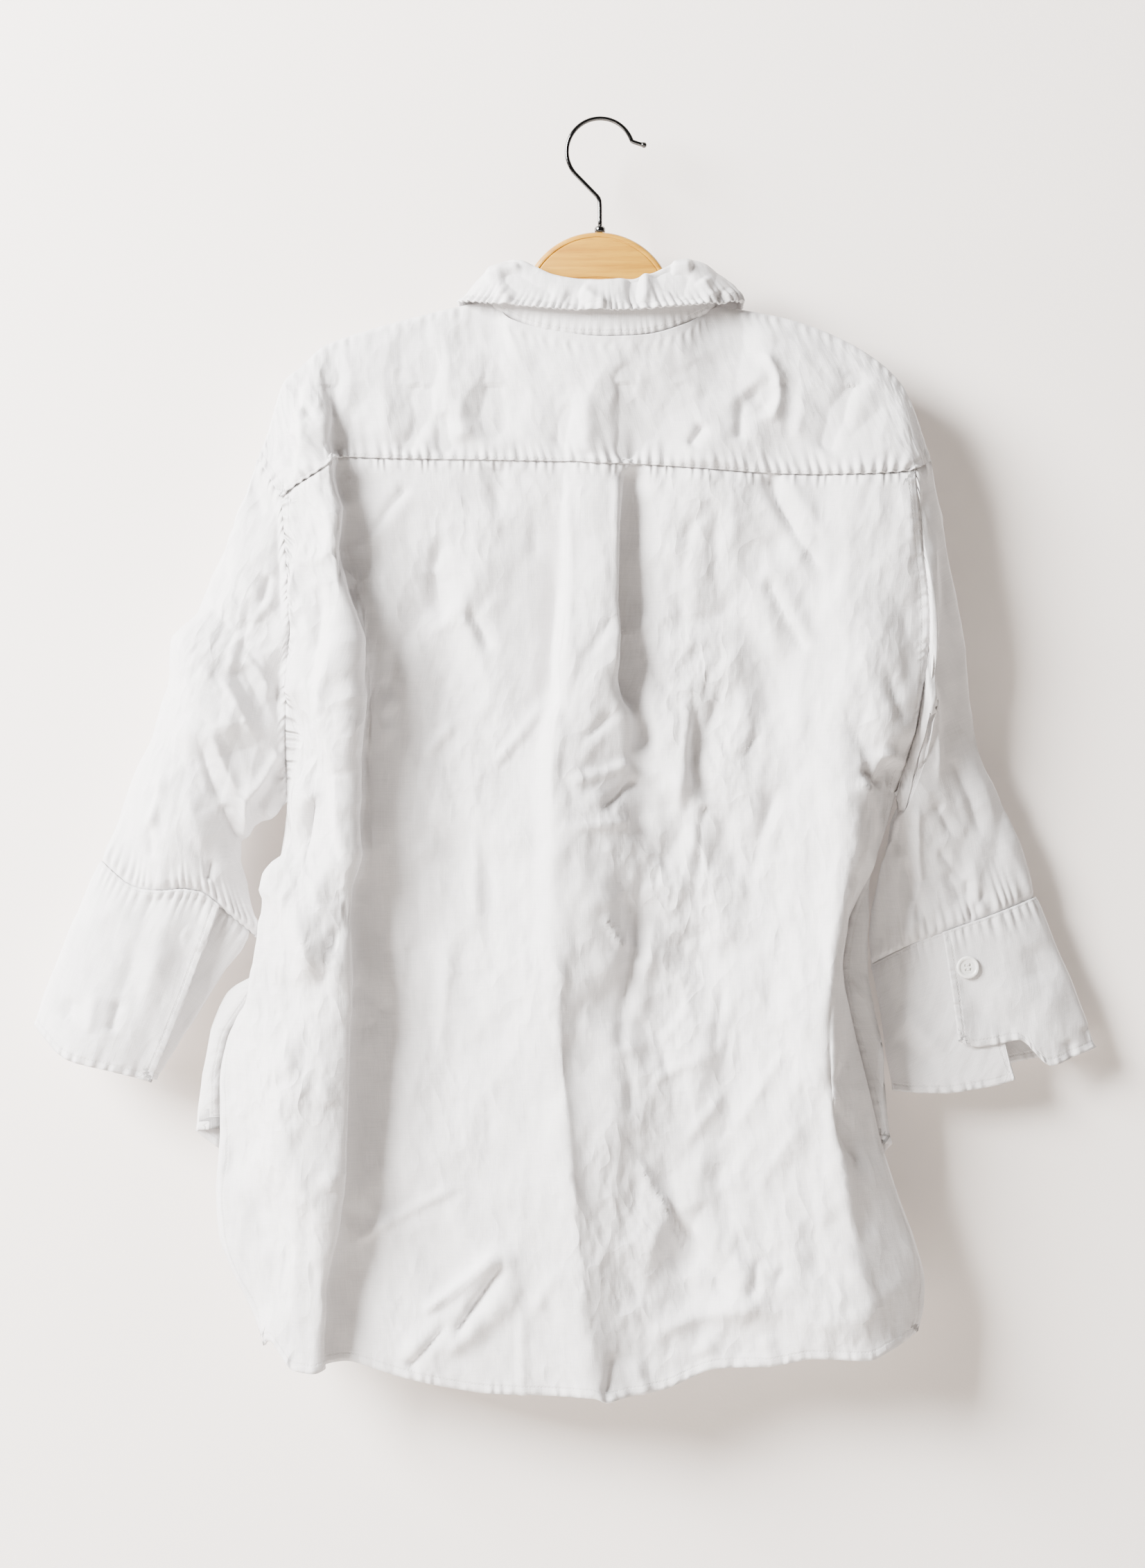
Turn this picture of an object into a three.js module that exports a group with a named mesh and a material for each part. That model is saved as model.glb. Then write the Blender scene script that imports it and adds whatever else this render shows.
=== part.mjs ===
import * as THREE from "three";

// A crumpled blouse on a hanger, in millimetres, +Z up.
// The origin is the inner top of the hook, where it rests on a rail.
// The blouse's back faces -Y and its front faces +Y.

// ---- Cloth -------------------------------------------------------------
const CLOTH = 1.6;
const DOUBLE_CLOTH = 2.0;
const SEAM_GAP = 0.3;
const BACK_PLANE = 6;
const CAP_HALF = 7.4;
const CAP_DROP = 3.6;
const BAND_HALF = 14;
const BAND_STEP = 2.6;
const BAND_SAG = 7;

// ---- Hanger ------------------------------------------------------------
const WOOD_HALF = 6;
const WOOD_CHAMFER = 2.4;
const HANGER_TILT = 1.2;
const HANGER_PIVOT = -87.6;
const HUMP_RADIUS = 59.5;
const WIRE_RADIUS = 1.7;
const HOOK_RADIUS = 26;
const HOOK_CENTRE = [0.5, -24.3];
const BALL_RADIUS = 2.2;

// ---- Buttons -----------------------------------------------------------
const BUTTON_RADIUS = 8.85;
const BUTTON_HEIGHT = 2.8;
const FRONT_BUTTON_Z = [-250, -362, -474, -586, -698, -810];

// ---- The back, from the yoke seam down to the shirt-tail hem ------------
// Each row is one fold line that runs down the back, from left to right.
// top: x, y, z where it starts on the shoulder ridge or the neckline.
// seam, hem: its z at the yoke seam and at the hem.
// x, out: its place and how far it stands out, at the five LEVELS.
const LEVELS = [0, 0.14, 0.33, 0.6, 1];
const BACK_FOLDS = [
  { name: "leftFlank", top: [-258, 0, -243], seam: -287, hem: -947,
    x: [-234, -227, -231, -274, -253], out: [22, 30, 30, 20, 22] },
  { name: "lobe", top: [-245, 0, -203], seam: -280, hem: -968,
    x: [-221, -212, -210, -237, -235], out: [30, 38, 42, 42, 32] },
  { name: "lobeCrest", top: [-232, 0, -192], seam: -272, hem: -970,
    x: [-209, -200, -195, -202, -220], out: [34, 43, 48, 50, 36] },
  { name: "lobeEdge", top: [-222, 0, -182], seam: -266, hem: -967,
    x: [-204, -194, -188, -189, -212], out: [26, 35, 40, 42, 30] },
  { name: "lobeUnder", top: [-216, 0, -177], seam: -265, hem: -967,
    x: [-203, -196, -190, -193, -214], out: [12, 14, 17, 18, 15] },
  { name: "shade", top: [-205, 0, -172], seam: -264, hem: -965,
    x: [-195, -184, -176, -177, -196], out: [6, 4, 2, 2, 8] },
  { name: "leftPlain", top: [-157, 0, -157], seam: -266, hem: -978,
    x: [-142, -137, -131, -131, -148], out: [12, 9, 8, 7, 14] },
  { name: "leftSlope", top: [-89, 0, -142], seam: -267, hem: -988,
    x: [-78, -81, -85, -82, -85], out: [14, 13, 15, 17, 19] },
  { name: "pleatShade", top: [-69, -18.5, -156.5], seam: -268, hem: -989,
    x: [-32, -32, -50, -52, -35], out: [14, 10, 21, 28, 25] },
  { name: "pleatLeft", top: [-49, -20, -163], seam: -268, hem: -989,
    x: [-22, -21, -36, -31, -7], out: [17, 26, 37, 38, 34] },
  { name: "pleatRidge", top: [-25, -23.5, -168], seam: -270, hem: -993,
    x: [2, 5, -12, -21, 6], out: [21, 30, 34, 33, 32] },
  { name: "pleatRight", top: [4, -25, -171], seam: -270, hem: -990,
    x: [22, 15, 19, 5, 22], out: [17, 22, 27, 24, 24] },
  { name: "pleatBack", top: [34, -23.5, -169.5], seam: -270, hem: -986,
    x: [29, 25, 38, 37, 48], out: [13, 9, 14, 16, 18] },
  { name: "rightPlain", top: [68, -18, -159.5], seam: -273, hem: -969,
    x: [78, 77, 77, 83, 91], out: [13, 12, 13, 17, 21] },
  { name: "rightHollow", top: [92, 0, -146], seam: -277, hem: -967,
    x: [131, 129, 129, 125, 130], out: [12, 10, 12, 22, 23] },
  { name: "rightSlope", top: [138, 0, -153], seam: -278, hem: -960,
    x: [169, 163, 160, 154, 167], out: [13, 14, 20, 35, 28] },
  { name: "rightCrest", top: [189, 0, -171], seam: -278, hem: -961,
    x: [200, 193, 192, 175, 204], out: [19, 27, 36, 46, 32] },
  { name: "rightTurn", top: [235, 0, -206], seam: -277, hem: -954,
    x: [225, 220, 214, 185, 224], out: [18, 26, 30, 30, 22] },
];
const FIRST_NECK_FOLD = 9;
const LAST_NECK_FOLD = 14;
const SLEEVE_TOP_LEFT = [-265, 0, -261];
const SLEEVE_TOP_RIGHT = [257, 0, -262];

// The back's two side edges: armhole, armpit, side seam, vent, tail corner.
const ARMPIT = 0.37;
const VENT = 0.76;
const LEFT_EDGE = {
  v: [0, 0.09, 0.19, 0.29, 0.37, 0.44, 0.48, 0.54, 0.58, 0.64, 0.7, 0.76, 0.83, 0.88, 0.93, 0.97, 1],
  x: [-246, -243, -239, -243, -243, -249, -258, -255, -267, -289, -295, -295, -298, -296, -287, -269, -260],
  y: [-22, -24, -24, -18, -4, -3, -4, -6, -8, -9, -8, -7, -8, -9, -10, -12, -14],
  z: [-296, -332, -401, -472, -533, -580, -612, -654, -679, -716, -751, -786, -833, -865, -892, -928, -953],
};
const RIGHT_EDGE = {
  v: [0, 0.09, 0.19, 0.29, 0.37, 0.44, 0.5, 0.55, 0.62, 0.69, 0.76, 0.82, 0.87, 0.92, 0.96, 1],
  x: [244, 249, 255, 248, 230, 213, 189, 187, 199, 211, 219, 232, 245, 253, 252, 247],
  y: [-22, -24, -22, -16, -2, -4, -9, -11, -11, -10, -8, -6, -4, -3, -4, -6],
  z: [-275, -332, -388, -460, -528, -580, -637, -669, -717, -764, -797, -838, -873, -906, -924, -943],
};
const BACK_ROWS = [
  0, 0.045, 0.09, 0.14, 0.19, 0.24, 0.29, 0.33, 0.37, 0.41, 0.44, 0.48,
  0.54, 0.58, 0.64, 0.7, 0.76, 0.82, 0.87, 0.92, 0.96, 1,
];
const YOKE_ROWS = [0.06, 0.3, 0.55, 0.8, 1];

// ---- The fronts, each from its side edge to its front band ---------------
const FRONT_LEVELS = [0, 0.22, 0.5, 0.75, 1];
const FRONT_LEFT = {
  edge: LEFT_EDGE, side: -1, step: 0,
  topShares: [0, 0.7, 2, 4, 6, 7, 8],
  flankZ: [-1000, -780, -771, -727, -705, -684, -654, -606, -580, -533, -200],
  flankX: [-315, -315, -314, -307, -300.5, -296, -259, -260, -250, -243.5, -243.5],
  columns: [
    { name: "side", hem: -812,
      x: [-226, -232, -262, -284], y: [13, 12, 8, 6] },
    { name: "sideFold", hem: -842,
      x: [-200, -206, -224, -240], y: [22, 26, 24, 20] },
    { name: "hollow", hem: -872,
      x: [-158, -164, -172, -184], y: [15, 13, 12, 14] },
    { name: "fold", hem: -894,
      x: [-116, -118, -124, -132], y: [24, 30, 33, 30] },
    { name: "plain", hem: -908,
      x: [-78, -78, -80, -84], y: [17, 17, 18, 20] },
    { name: "neckTurn", hem: -916,
      x: [-44, -44, -46, -48], y: [22, 21, 23, 24] },
    { name: "bandSeam", hem: -920,
      x: [-BAND_HALF, -BAND_HALF, -BAND_HALF, -BAND_HALF], y: [24, 22, 22, 23] },
  ],
};
const FRONT_RIGHT = {
  edge: RIGHT_EDGE, side: 1, step: BAND_STEP,
  topShares: [19, 18.75, 18.5, 18, 17, 16, 15],
  flankZ: [-1000, -797, -783, -758, -704, -677, -606, -580, -550, -528, -200],
  flankX: [226, 226, 223, 225, 221, 209, 208.5, 213, 221, 227.5, 228],
  columns: [
    { name: "side", hem: -826,
      x: [232, 214, 190, 206], y: [13, 9, 5, 7] },
    { name: "sideFold", hem: -850,
      x: [204, 192, 172, 184], y: [22, 24, 20, 20] },
    { name: "hollow", hem: -876,
      x: [160, 156, 144, 150], y: [14, 13, 12, 14] },
    { name: "fold", hem: -897,
      x: [116, 114, 108, 112], y: [25, 30, 31, 28] },
    { name: "plain", hem: -910,
      x: [78, 77, 74, 76], y: [19, 20, 21, 22] },
    { name: "neckTurn", hem: -918,
      x: [44, 44, 43, 44], y: [25, 24, 25, 26] },
    { name: "bandSeam", hem: -922,
      x: [BAND_HALF, BAND_HALF, BAND_HALF, BAND_HALF],
      y: [24 + BAND_STEP, 22 + BAND_STEP, 22 + BAND_STEP, 23 + BAND_STEP] },
  ],
};

// ---- Sleeves: rings fanned from the armhole to the cuff seam --------------
// outer, inner: x, z of the ring's two turns. mid: its middle y.
// back, front: how far its two faces stand out from there.
const SLEEVE_LEFT = [
  { outer: [-277, -290], inner: [-252, -539], mid: 0, back: 24, front: 18 },
  { outer: [-295, -336], inner: [-266, -544], mid: 0, back: 28, front: 21 },
  { outer: [-316, -392], inner: [-278, -552], mid: 1, back: 31, front: 23 },
  { outer: [-335, -446], inner: [-284, -563], mid: 1, back: 31, front: 24 },
  { outer: [-354, -495], inner: [-284, -576], mid: 0, back: 29, front: 24 },
  { outer: [-373, -539], inner: [-279, -595], mid: 0, back: 26, front: 22 },
  { outer: [-388, -577], inner: [-266, -633], mid: 0, back: 21, front: 19 },
];
const SLEEVE_RIGHT = [
  { outer: [265, -306], inner: [236, -545], mid: 2, back: 22, front: 18 },
  { outer: [274, -358], inner: [229, -563], mid: 6, back: 22, front: 20 },
  { outer: [284, -405], inner: [221, -582], mid: 12, back: 21, front: 20 },
  { outer: [292, -460], inner: [219, -604], mid: 17, back: 20, front: 19 },
  { outer: [303, -506], inner: [216, -623], mid: 21, back: 19, front: 18 },
  { outer: [322, -546], inner: [214, -642], mid: 24, back: 19, front: 17 },
  { outer: [343, -606], inner: [213, -659], mid: 26, back: 18, front: 16 },
];
const SLEEVE_ROUND = 0.62;
const SLEEVE_BLEND = [1, 0.8, 0.45, 0.15];

// ---- Cuffs ---------------------------------------------------------------
// The drop tables give how far a cuff's edge sags at that share of its width.
// flap: the outer end's share at the cuff's top and foot. under: the inner end's.
const CUFF_LEFT = {
  outer: [-441, -705], inner: [-339, -751], mid: 0, back: 22, front: 20, lap: 7.2,
  topDrop: { u: [0, 0.2, 0.35, 0.5, 0.66, 0.8, 1], z: [0, -7, -3, 7, 13, 8, 0] },
  footDrop: { u: [0, 0.27, 0.6, 1], z: [0, -13, -7, 0] },
  flap: [0.77, 0.9], under: [0.5, 0.55],
  length: { q: [0, 1], t: [1, 1] },
};
const CUFF_RIGHT = {
  outer: [392, -725], inner: [229, -759], mid: 26, back: 17, front: 15, lap: 2.6,
  topDrop: { u: [0, 0.25, 0.5, 0.75, 1], z: [0, 1, 3, 4, 0] },
  footDrop: { u: [0, 0.25, 0.5, 0.75, 1], z: [0, -6, -12, -10, 0] },
  flap: [0.575, 0.65], under: [0.36, 0.42],
  length: { q: [0, 0.03, 0.09, 0.12, 1], t: [0.68, 0.74, 0.78, 1, 1] },
};
const CUFF_SEAM = 0.8;
const CUFF_ROWS = [0, 0.22, 0.45, 0.7, 1];

// ---- Collar: turns are given from the middle of the back (0) to the front (1)
const COLLAR_TURN = [0, 0.08, 0.15, 0.22, 0.3, 0.38, 0.5, 0.62, 0.75, 0.88, 1];
const NECK = {
  x: [0, 23, 42, 58, 73, 84, 90.5, 84, 64, 34, 0],
  y: [-25, -24, -22.5, -19.5, -15, -9, 0, 9, 16, 21, 23],
  z: [-171, -170, -167, -162, -155, -149, -143, -152, -174, -202, -219],
};
const FOLD_LINE = {
  x: [0, 19, 36, 50, 62, 70, 77, 73, 57, 31, 0],
  y: [-24, -23.5, -22, -20, -16, -10, 0, 11, 21, 28, 30],
  z: [-131, -130, -126.5, -120, -114, -113.5, -118, -131, -153, -179, -193],
};
const FALL_EDGE = {
  x: [0, 30, 52, 74, 93, 104, 111, 110, 96, 74, 46],
  y: [-36, -35.5, -34, -31, -26, -19, -4, 17, 29, 38, 42],
  z: [-153, -152, -150, -148, -145.5, -143.5, -142.5, -149, -185, -229, -262],
};
const COLLAR_SHIFT = 1;
const NECK_LEAN = 0.02;
const FALL_END = 0.965;
const STAND_END = 1.035;
const STAND_LAP = 2.2;
const FALL_LIFT = 2.6;

// ---- Creases wide enough to be cut into the solids -------------------------
const CREASES = [
  { name: "leftShoulder", from: [-149, -287], to: [-185, -335], width: 11, rise: 5 },
  { name: "leftMiddle", from: [-89, -349], to: [-126, -400], width: 12, rise: 4 },
  { name: "rightShoulder", from: [128, -292], to: [172, -352], width: 12, rise: 5 },
  { name: "rightMiddle", from: [130, -360], to: [164, -412], width: 11, rise: 4 },
  { name: "tailLong", from: [-70, -880], to: [-152, -972], width: 11, rise: 6 },
  { name: "tailShort", from: [-62, -900], to: [-108, -950], width: 10, rise: 4 },
  { name: "hipTrough", from: [50, -812], to: [67, -892], width: 12, rise: -6 },
  { name: "waistRidge", from: [56, -470], to: [96, -640], width: 13, rise: 5 },
  { name: "lowRight", from: [104, -700], to: [92, -860], width: 14, rise: -5 },
  { name: "lobeBand", from: [-222, -520], to: [-236, -640], width: 12, rise: 5 },
];

// ---- Small mathematics -----------------------------------------------------
const lerp = (a, b, t) => a + (b - a) * t;
const clamp = (t) => Math.min(1, Math.max(0, t));
const smooth = (a, b, t) => {
  const k = clamp((t - a) / (b - a));
  return k * k * (3 - 2 * k);
};

// A monotone cubic through the points: it never overshoots a row of a table.
function curve(xs, ys) {
  const last = xs.length - 1;
  const step = [];
  const rate = [];
  for (let i = 0; i < last; i += 1) {
    step.push(xs[i + 1] - xs[i]);
    rate.push((ys[i + 1] - ys[i]) / step[i]);
  }
  const slope = [rate[0]];
  for (let i = 1; i < last; i += 1) {
    if (rate[i - 1] * rate[i] <= 0) {
      slope.push(0);
    } else {
      const w1 = 2 * step[i] + step[i - 1];
      const w2 = step[i] + 2 * step[i - 1];
      slope.push((w1 + w2) / (w1 / rate[i - 1] + w2 / rate[i]));
    }
  }
  slope.push(rate[last - 1]);
  return (x) => {
    if (x <= xs[0]) return ys[0];
    if (x >= xs[last]) return ys[last];
    let i = 0;
    while (x > xs[i + 1]) i += 1;
    const t = (x - xs[i]) / step[i];
    const t2 = t * t;
    const t3 = t2 * t;
    return ys[i] * (2 * t3 - 3 * t2 + 1) + ys[i + 1] * (3 * t2 - 2 * t3)
      + step[i] * (slope[i] * (t3 - 2 * t2 + t) + slope[i + 1] * (t3 - t2));
  };
}

function throughPoints(points) {
  const index = points.map((_, i) => i);
  const fx = curve(index, points.map((p) => p.x));
  const fy = curve(index, points.map((p) => p.y));
  const fz = curve(index, points.map((p) => p.z));
  return (s) => new THREE.Vector3(fx(s), fy(s), fz(s));
}

function creaseAt(x, z) {
  let sum = 0;
  for (const c of CREASES) {
    const dx = c.to[0] - c.from[0];
    const dz = c.to[1] - c.from[1];
    const length = Math.hypot(dx, dz);
    const along = ((x - c.from[0]) * dx + (z - c.from[1]) * dz) / length;
    const across = ((x - c.from[0]) * dz - (z - c.from[1]) * dx) / length;
    const ends = smooth(-c.width, c.width, along) * smooth(-c.width, c.width, length - along);
    sum += c.rise * ends * Math.exp(-((across / c.width) ** 2));
  }
  return sum;
}

// ---- Cloth sheets -----------------------------------------------------------
// A sheet is a grid of middle points. Its face vectors are worked out from the
// grid, made common along every shared seam, and then it gets its thickness.
const sheets = [];

function addSheet(name, grid, options) {
  const sheet = { name, grid, thickness: CLOTH, wrap: false, ...options };
  const rows = grid.length;
  const cols = grid[0].length;
  const at = (i, j) => grid[i][sheet.wrap ? (j + cols) % cols : Math.min(cols - 1, Math.max(0, j))];
  const face = [];
  for (let i = 0; i < rows; i += 1) {
    const line = [];
    for (let j = 0; j < cols; j += 1) {
      const down = at(Math.min(rows - 1, i + 1), j).clone().sub(at(Math.max(0, i - 1), j));
      const across = at(i, j + 1).clone().sub(at(i, j - 1));
      line.push(across.cross(down).normalize());
    }
    face.push(line);
  }
  const [ci, cj] = [Math.floor(rows / 2), Math.floor(cols * (sheet.probe ?? 0.5))];
  if (face[ci][cj].dot(sheet.facing) < 0) {
    face.forEach((line) => line.forEach((n) => n.negate()));
  }
  sheet.face = face;
  sheets.push(sheet);
  return sheet;
}

function boundary(sheet) {
  const rows = sheet.grid.length;
  const cols = sheet.grid[0].length;
  const list = [];
  for (let i = 0; i < rows; i += 1) {
    for (let j = 0; j < cols; j += 1) {
      const side = !sheet.wrap && (j === 0 || j === cols - 1);
      if (i === 0 || i === rows - 1 || side) list.push([sheet, i, j]);
    }
  }
  return list;
}

function shareSeams() {
  const all = sheets.flatMap(boundary);
  const done = new Set();
  all.forEach((a, k) => {
    if (done.has(k)) return;
    const pa = a[0].grid[a[1]][a[2]];
    const group = all
      .map((b, n) => [b, n])
      .filter(([b]) => b[0].grid[b[1]][b[2]].distanceTo(pa) < 0.05);
    const mean = new THREE.Vector3();
    group.forEach(([b, n]) => {
      mean.add(b[0].face[b[1]][b[2]]);
      done.add(n);
    });
    mean.normalize();
    if (group.length > 1) group.forEach(([b]) => b[0].face[b[1]][b[2]].copy(mean));
  });
}

function insetEdges(sheet) {
  const { grid, wrap } = sheet;
  const rows = grid.length;
  const cols = grid[0].length;
  const moves = boundary(sheet).map(([, i, j]) => {
    const di = i === 0 ? 1 : i === rows - 1 ? -1 : 0;
    const dj = wrap ? 0 : j === 0 ? 1 : j === cols - 1 ? -1 : 0;
    const shift = new THREE.Vector3();
    const here = grid[i][j];
    const amount = SEAM_GAP / 2 + (sheet.extra ? sheet.extra(i, j) : 0);
    if (di) shift.add(grid[i + di][j].clone().sub(here).normalize().multiplyScalar(amount));
    if (dj) shift.add(grid[i][j + dj].clone().sub(here).normalize().multiplyScalar(amount));
    return [i, j, shift];
  });
  moves.forEach(([i, j, shift]) => grid[i][j].add(shift));
  grid.flat().forEach((p) => { p.x += sheet.clear ?? 0; });
}

function shellGeometry(sheet) {
  const { grid, face, wrap, thickness } = sheet;
  const rows = grid.length;
  const cols = grid[0].length;
  const position = [];
  for (const sign of [0.5, -0.5]) {
    for (let i = 0; i < rows; i += 1) {
      for (let j = 0; j < cols; j += 1) {
        const p = grid[i][j].clone().addScaledVector(face[i][j], sign * thickness);
        position.push(p.x, p.y, p.z);
      }
    }
  }
  const index = [];
  const half = rows * cols;
  const span = wrap ? cols : cols - 1;
  const quad = (a, b, c, d) => index.push(a, b, c, a, c, d);
  for (let i = 0; i < rows - 1; i += 1) {
    for (let j = 0; j < span; j += 1) {
      const a = i * cols + j;
      const b = i * cols + ((j + 1) % cols);
      quad(a, b, b + cols, a + cols);
      quad(half + a, half + a + cols, half + b + cols, half + b);
    }
  }
  for (let j = 0; j < span; j += 1) {
    const b = (j + 1) % cols;
    const foot = (rows - 1) * cols;
    quad(j, half + j, half + b, b);
    quad(foot + j, foot + b, half + foot + b, half + foot + j);
  }
  if (!wrap) {
    for (let i = 0; i < rows - 1; i += 1) {
      const a = i * cols;
      const e = a + cols - 1;
      quad(a, a + cols, half + a + cols, half + a);
      quad(e, half + e, half + e + cols, e + cols);
    }
  }
  return solid(position, index);
}

// A closed geometry whose faces point out: it is turned over if its volume is negative.
function solid(position, index) {
  let volume = 0;
  const p = (n) => new THREE.Vector3().fromArray(position, 3 * n);
  for (let k = 0; k < index.length; k += 3) {
    volume += p(index[k]).dot(p(index[k + 1]).cross(p(index[k + 2])));
  }
  if (volume < 0) {
    for (let k = 0; k < index.length; k += 3) {
      [index[k + 1], index[k + 2]] = [index[k + 2], index[k + 1]];
    }
  }
  const geometry = new THREE.BufferGeometry();
  geometry.setAttribute("position", new THREE.Float32BufferAttribute(position, 3));
  geometry.setIndex(index);
  geometry.computeVertexNormals();
  return geometry;
}

// ---- Body --------------------------------------------------------------------
const COLUMN_STEPS = BACK_FOLDS.length + 1;
const BACK_COLUMNS = [];
for (let s = 0; s < COLUMN_STEPS; s += 0.5) BACK_COLUMNS.push(s);
BACK_COLUMNS.push(COLUMN_STEPS);

function edgeCurve(edge) {
  const fx = curve(edge.v, edge.x);
  const fy = curve(edge.v, edge.y);
  const fz = curve(edge.v, edge.z);
  return (v) => new THREE.Vector3(fx(v), fy(v), fz(v));
}
const leftEdge = edgeCurve(LEFT_EDGE);
const rightEdge = edgeCurve(RIGHT_EDGE);
const foldLines = BACK_FOLDS.map((fold) => {
  const fx = curve(LEVELS, fold.x);
  const fout = curve(LEVELS, fold.out);
  return (v) => new THREE.Vector3(fx(v), -BACK_PLANE - fout(v), lerp(fold.seam, fold.hem, v));
});

function backPoint(s, v) {
  const row = [leftEdge(v), ...foldLines.map((line) => line(v)), rightEdge(v)];
  const p = throughPoints(row)(s);
  const inside = smooth(0, 0.05, v) * smooth(0, 0.04, 1 - v)
    * smooth(0, 1.5, s) * smooth(0, 1.5, COLUMN_STEPS - s);
  p.y -= inside * creaseAt(p.x, p.z);
  return p;
}

const tops = [SLEEVE_TOP_LEFT, ...BACK_FOLDS.map((f) => f.top), SLEEVE_TOP_RIGHT];
const topCurve = throughPoints(tops.map((t) => new THREE.Vector3(t[0], t[1], t[2] - CLOTH / 2)));
const capCurve = curve(
  tops.map((_, i) => i),
  tops.map((_, i) => (i >= FIRST_NECK_FOLD && i <= LAST_NECK_FOLD ? 0 : 1)),
);

// The three points with which the cloth turns over the hanger, toward y = way.
function capPoints(top, cap, way) {
  const flat = 1 - cap;
  return [
    top.clone(),
    new THREE.Vector3(top.x, top.y + way * 4.2 * cap, top.z - 3 * flat),
    new THREE.Vector3(top.x, top.y + way * CAP_HALF * cap, top.z - CAP_DROP * cap - 8 * flat),
  ];
}

function yokeColumn(s) {
  const head = capPoints(topCurve(s), capCurve(s), -1);
  const foot = backPoint(s, 0);
  const tail = YOKE_ROWS.map((w) => {
    const p = head[2].clone().lerp(foot, w);
    p.y = lerp(head[2].y, foot.y, w ** 0.85);
    return p;
  });
  return [...head, ...tail];
}

const column = (grid, j) => grid.map((row) => row[j]);
const transpose = (columns) => columns[0].map((_, i) => columns.map((c) => c[i]));

const yokeGrid = transpose(BACK_COLUMNS.map(yokeColumn));
const backGrid = BACK_ROWS.map((v) => BACK_COLUMNS.map((s) => backPoint(s, v)));

// ---- Collar ------------------------------------------------------------------------
function collarLine(table, lean = 0) {
  const fx = curve(COLLAR_TURN, table.x);
  const fy = curve(COLLAR_TURN, table.y);
  const fz = curve(COLLAR_TURN, table.z);
  return (turn) => {
    const t = Math.abs(turn);
    const reach = t > 1 ? -1 : 1;
    const u = t > 1 ? 2 - t : t;
    const x = Math.sign(turn) * reach * fx(u);
    return new THREE.Vector3(COLLAR_SHIFT + x, fy(u), fz(u) - lean * x);
  };
}
const neckLine = collarLine(NECK, NECK_LEAN);
const foldLine = collarLine(FOLD_LINE);
const fallEdge = collarLine(FALL_EDGE);

// The front's side edge: the armhole's front half, then the back's own side seam.
const SIDE_ROWS = BACK_ROWS.filter((v) => v > 0 && v <= VENT + 1e-6);
function frontEdge(front) {
  const yokeSide = column(yokeGrid, front.side < 0 ? 0 : BACK_COLUMNS.length - 1);
  const upper = yokeSide.map((p) => new THREE.Vector3(p.x, -0.85 * p.y, p.z));
  const back = edgeCurve(front.edge);
  const lower = SIDE_ROWS.map((v) => {
    const p = back(v);
    if (v < ARMPIT - 1e-6) p.y = lerp(-0.85 * p.y, p.y, (v / ARMPIT) ** 8);
    return p;
  });
  return [...upper, ...lower];
}

// The front's top row: the shoulder ridge, then the front neckline to the band.
const SHOULDER_END = 6;
const NECK_TURNS = [0.5, 0.62, 0.74, 0.86, 0.953];
function frontHead(front, s) {
  if (s <= SHOULDER_END) {
    const share = curve([0, 1, 2, 3, 4, 5, 6], front.topShares)(s);
    return capPoints(topCurve(share), 1, 1);
  }
  const turn = curve([6, 6.5, 7, 7.5, 8], NECK_TURNS)(s);
  const top = neckLine(turn * front.side);
  top.y += front.step * smooth(0.7, 0.95, turn);
  return capPoints(top, 0, 1);
}

function frontGrid(front) {
  const edge = frontEdge(front);
  const run = [0];
  for (let i = 1; i < edge.length; i += 1) run.push(run[i - 1] + edge[i].distanceTo(edge[i - 1]));
  const share = run.map((r) => (r - run[2]) / (run[run.length - 1] - run[2]));
  const outline = curve(front.flankZ, front.flankX);
  const armpitZ = edgeCurve(front.edge)(ARMPIT).z;
  const flank = edge.map((p) => {
    const low = smooth(armpitZ + 60, armpitZ - 10, p.z);
    return new THREE.Vector3(
      lerp(p.x - front.side * 6, outline(p.z), low), p.y + lerp(3.5, 5, low), p.z - 1.5,
    );
  });
  const columns = front.columns.map((c, n) => {
    const head = frontHead(front, n + 2);
    const fx = curve(FRONT_LEVELS, [head[2].x, ...c.x]);
    const fy = curve(FRONT_LEVELS, [head[2].y, ...c.y]);
    return edge.map((_, i) => (
      new THREE.Vector3(fx(share[i]), fy(share[i]), lerp(head[2].z, c.hem, share[i]))
    ));
  });
  const all = [edge, flank, ...columns];
  const steps = [];
  for (let s = 0; s <= all.length - 1; s += 0.5) steps.push(s);
  const heads = steps.map((s) => frontHead(front, s));
  return edge.map((_, i) => {
    if (i < 3) return steps.map((s, n) => (n === 0 ? edge[i] : heads[n][i]));
    const along = throughPoints(all.map((c) => c[i]));
    return steps.map((s) => along(s));
  });
}

// ---- Sleeves ------------------------------------------------------------------
function armholeRing(side) {
  const last = BACK_COLUMNS.length - 1;
  const yokeSide = column(yokeGrid, side < 0 ? 0 : last);
  const edge = side < 0 ? leftEdge : rightEdge;
  const upTo = SIDE_ROWS.filter((v) => v <= ARMPIT + 1e-6);
  const rear = [...yokeSide, ...upTo.map((v) => edge(v))];
  const front = frontEdge(side < 0 ? FRONT_LEFT : FRONT_RIGHT).slice(0, rear.length);
  return { rear, front };
}

function ringShares(points) {
  const run = [0];
  for (let i = 1; i < points.length; i += 1) {
    run.push(run[i - 1] + points[i].distanceTo(points[i - 1]));
  }
  return run.map((r) => r / run[run.length - 1]);
}

function ringPoint(ring, u, way) {
  const round = Math.max(0, Math.sin(Math.PI * u)) ** SLEEVE_ROUND;
  const reach = way < 0 ? -ring.back : ring.front;
  return new THREE.Vector3(
    lerp(ring.outer[0], ring.inner[0], u),
    ring.mid + reach * round,
    lerp(ring.outer[1], ring.inner[1], u),
  );
}

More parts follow.
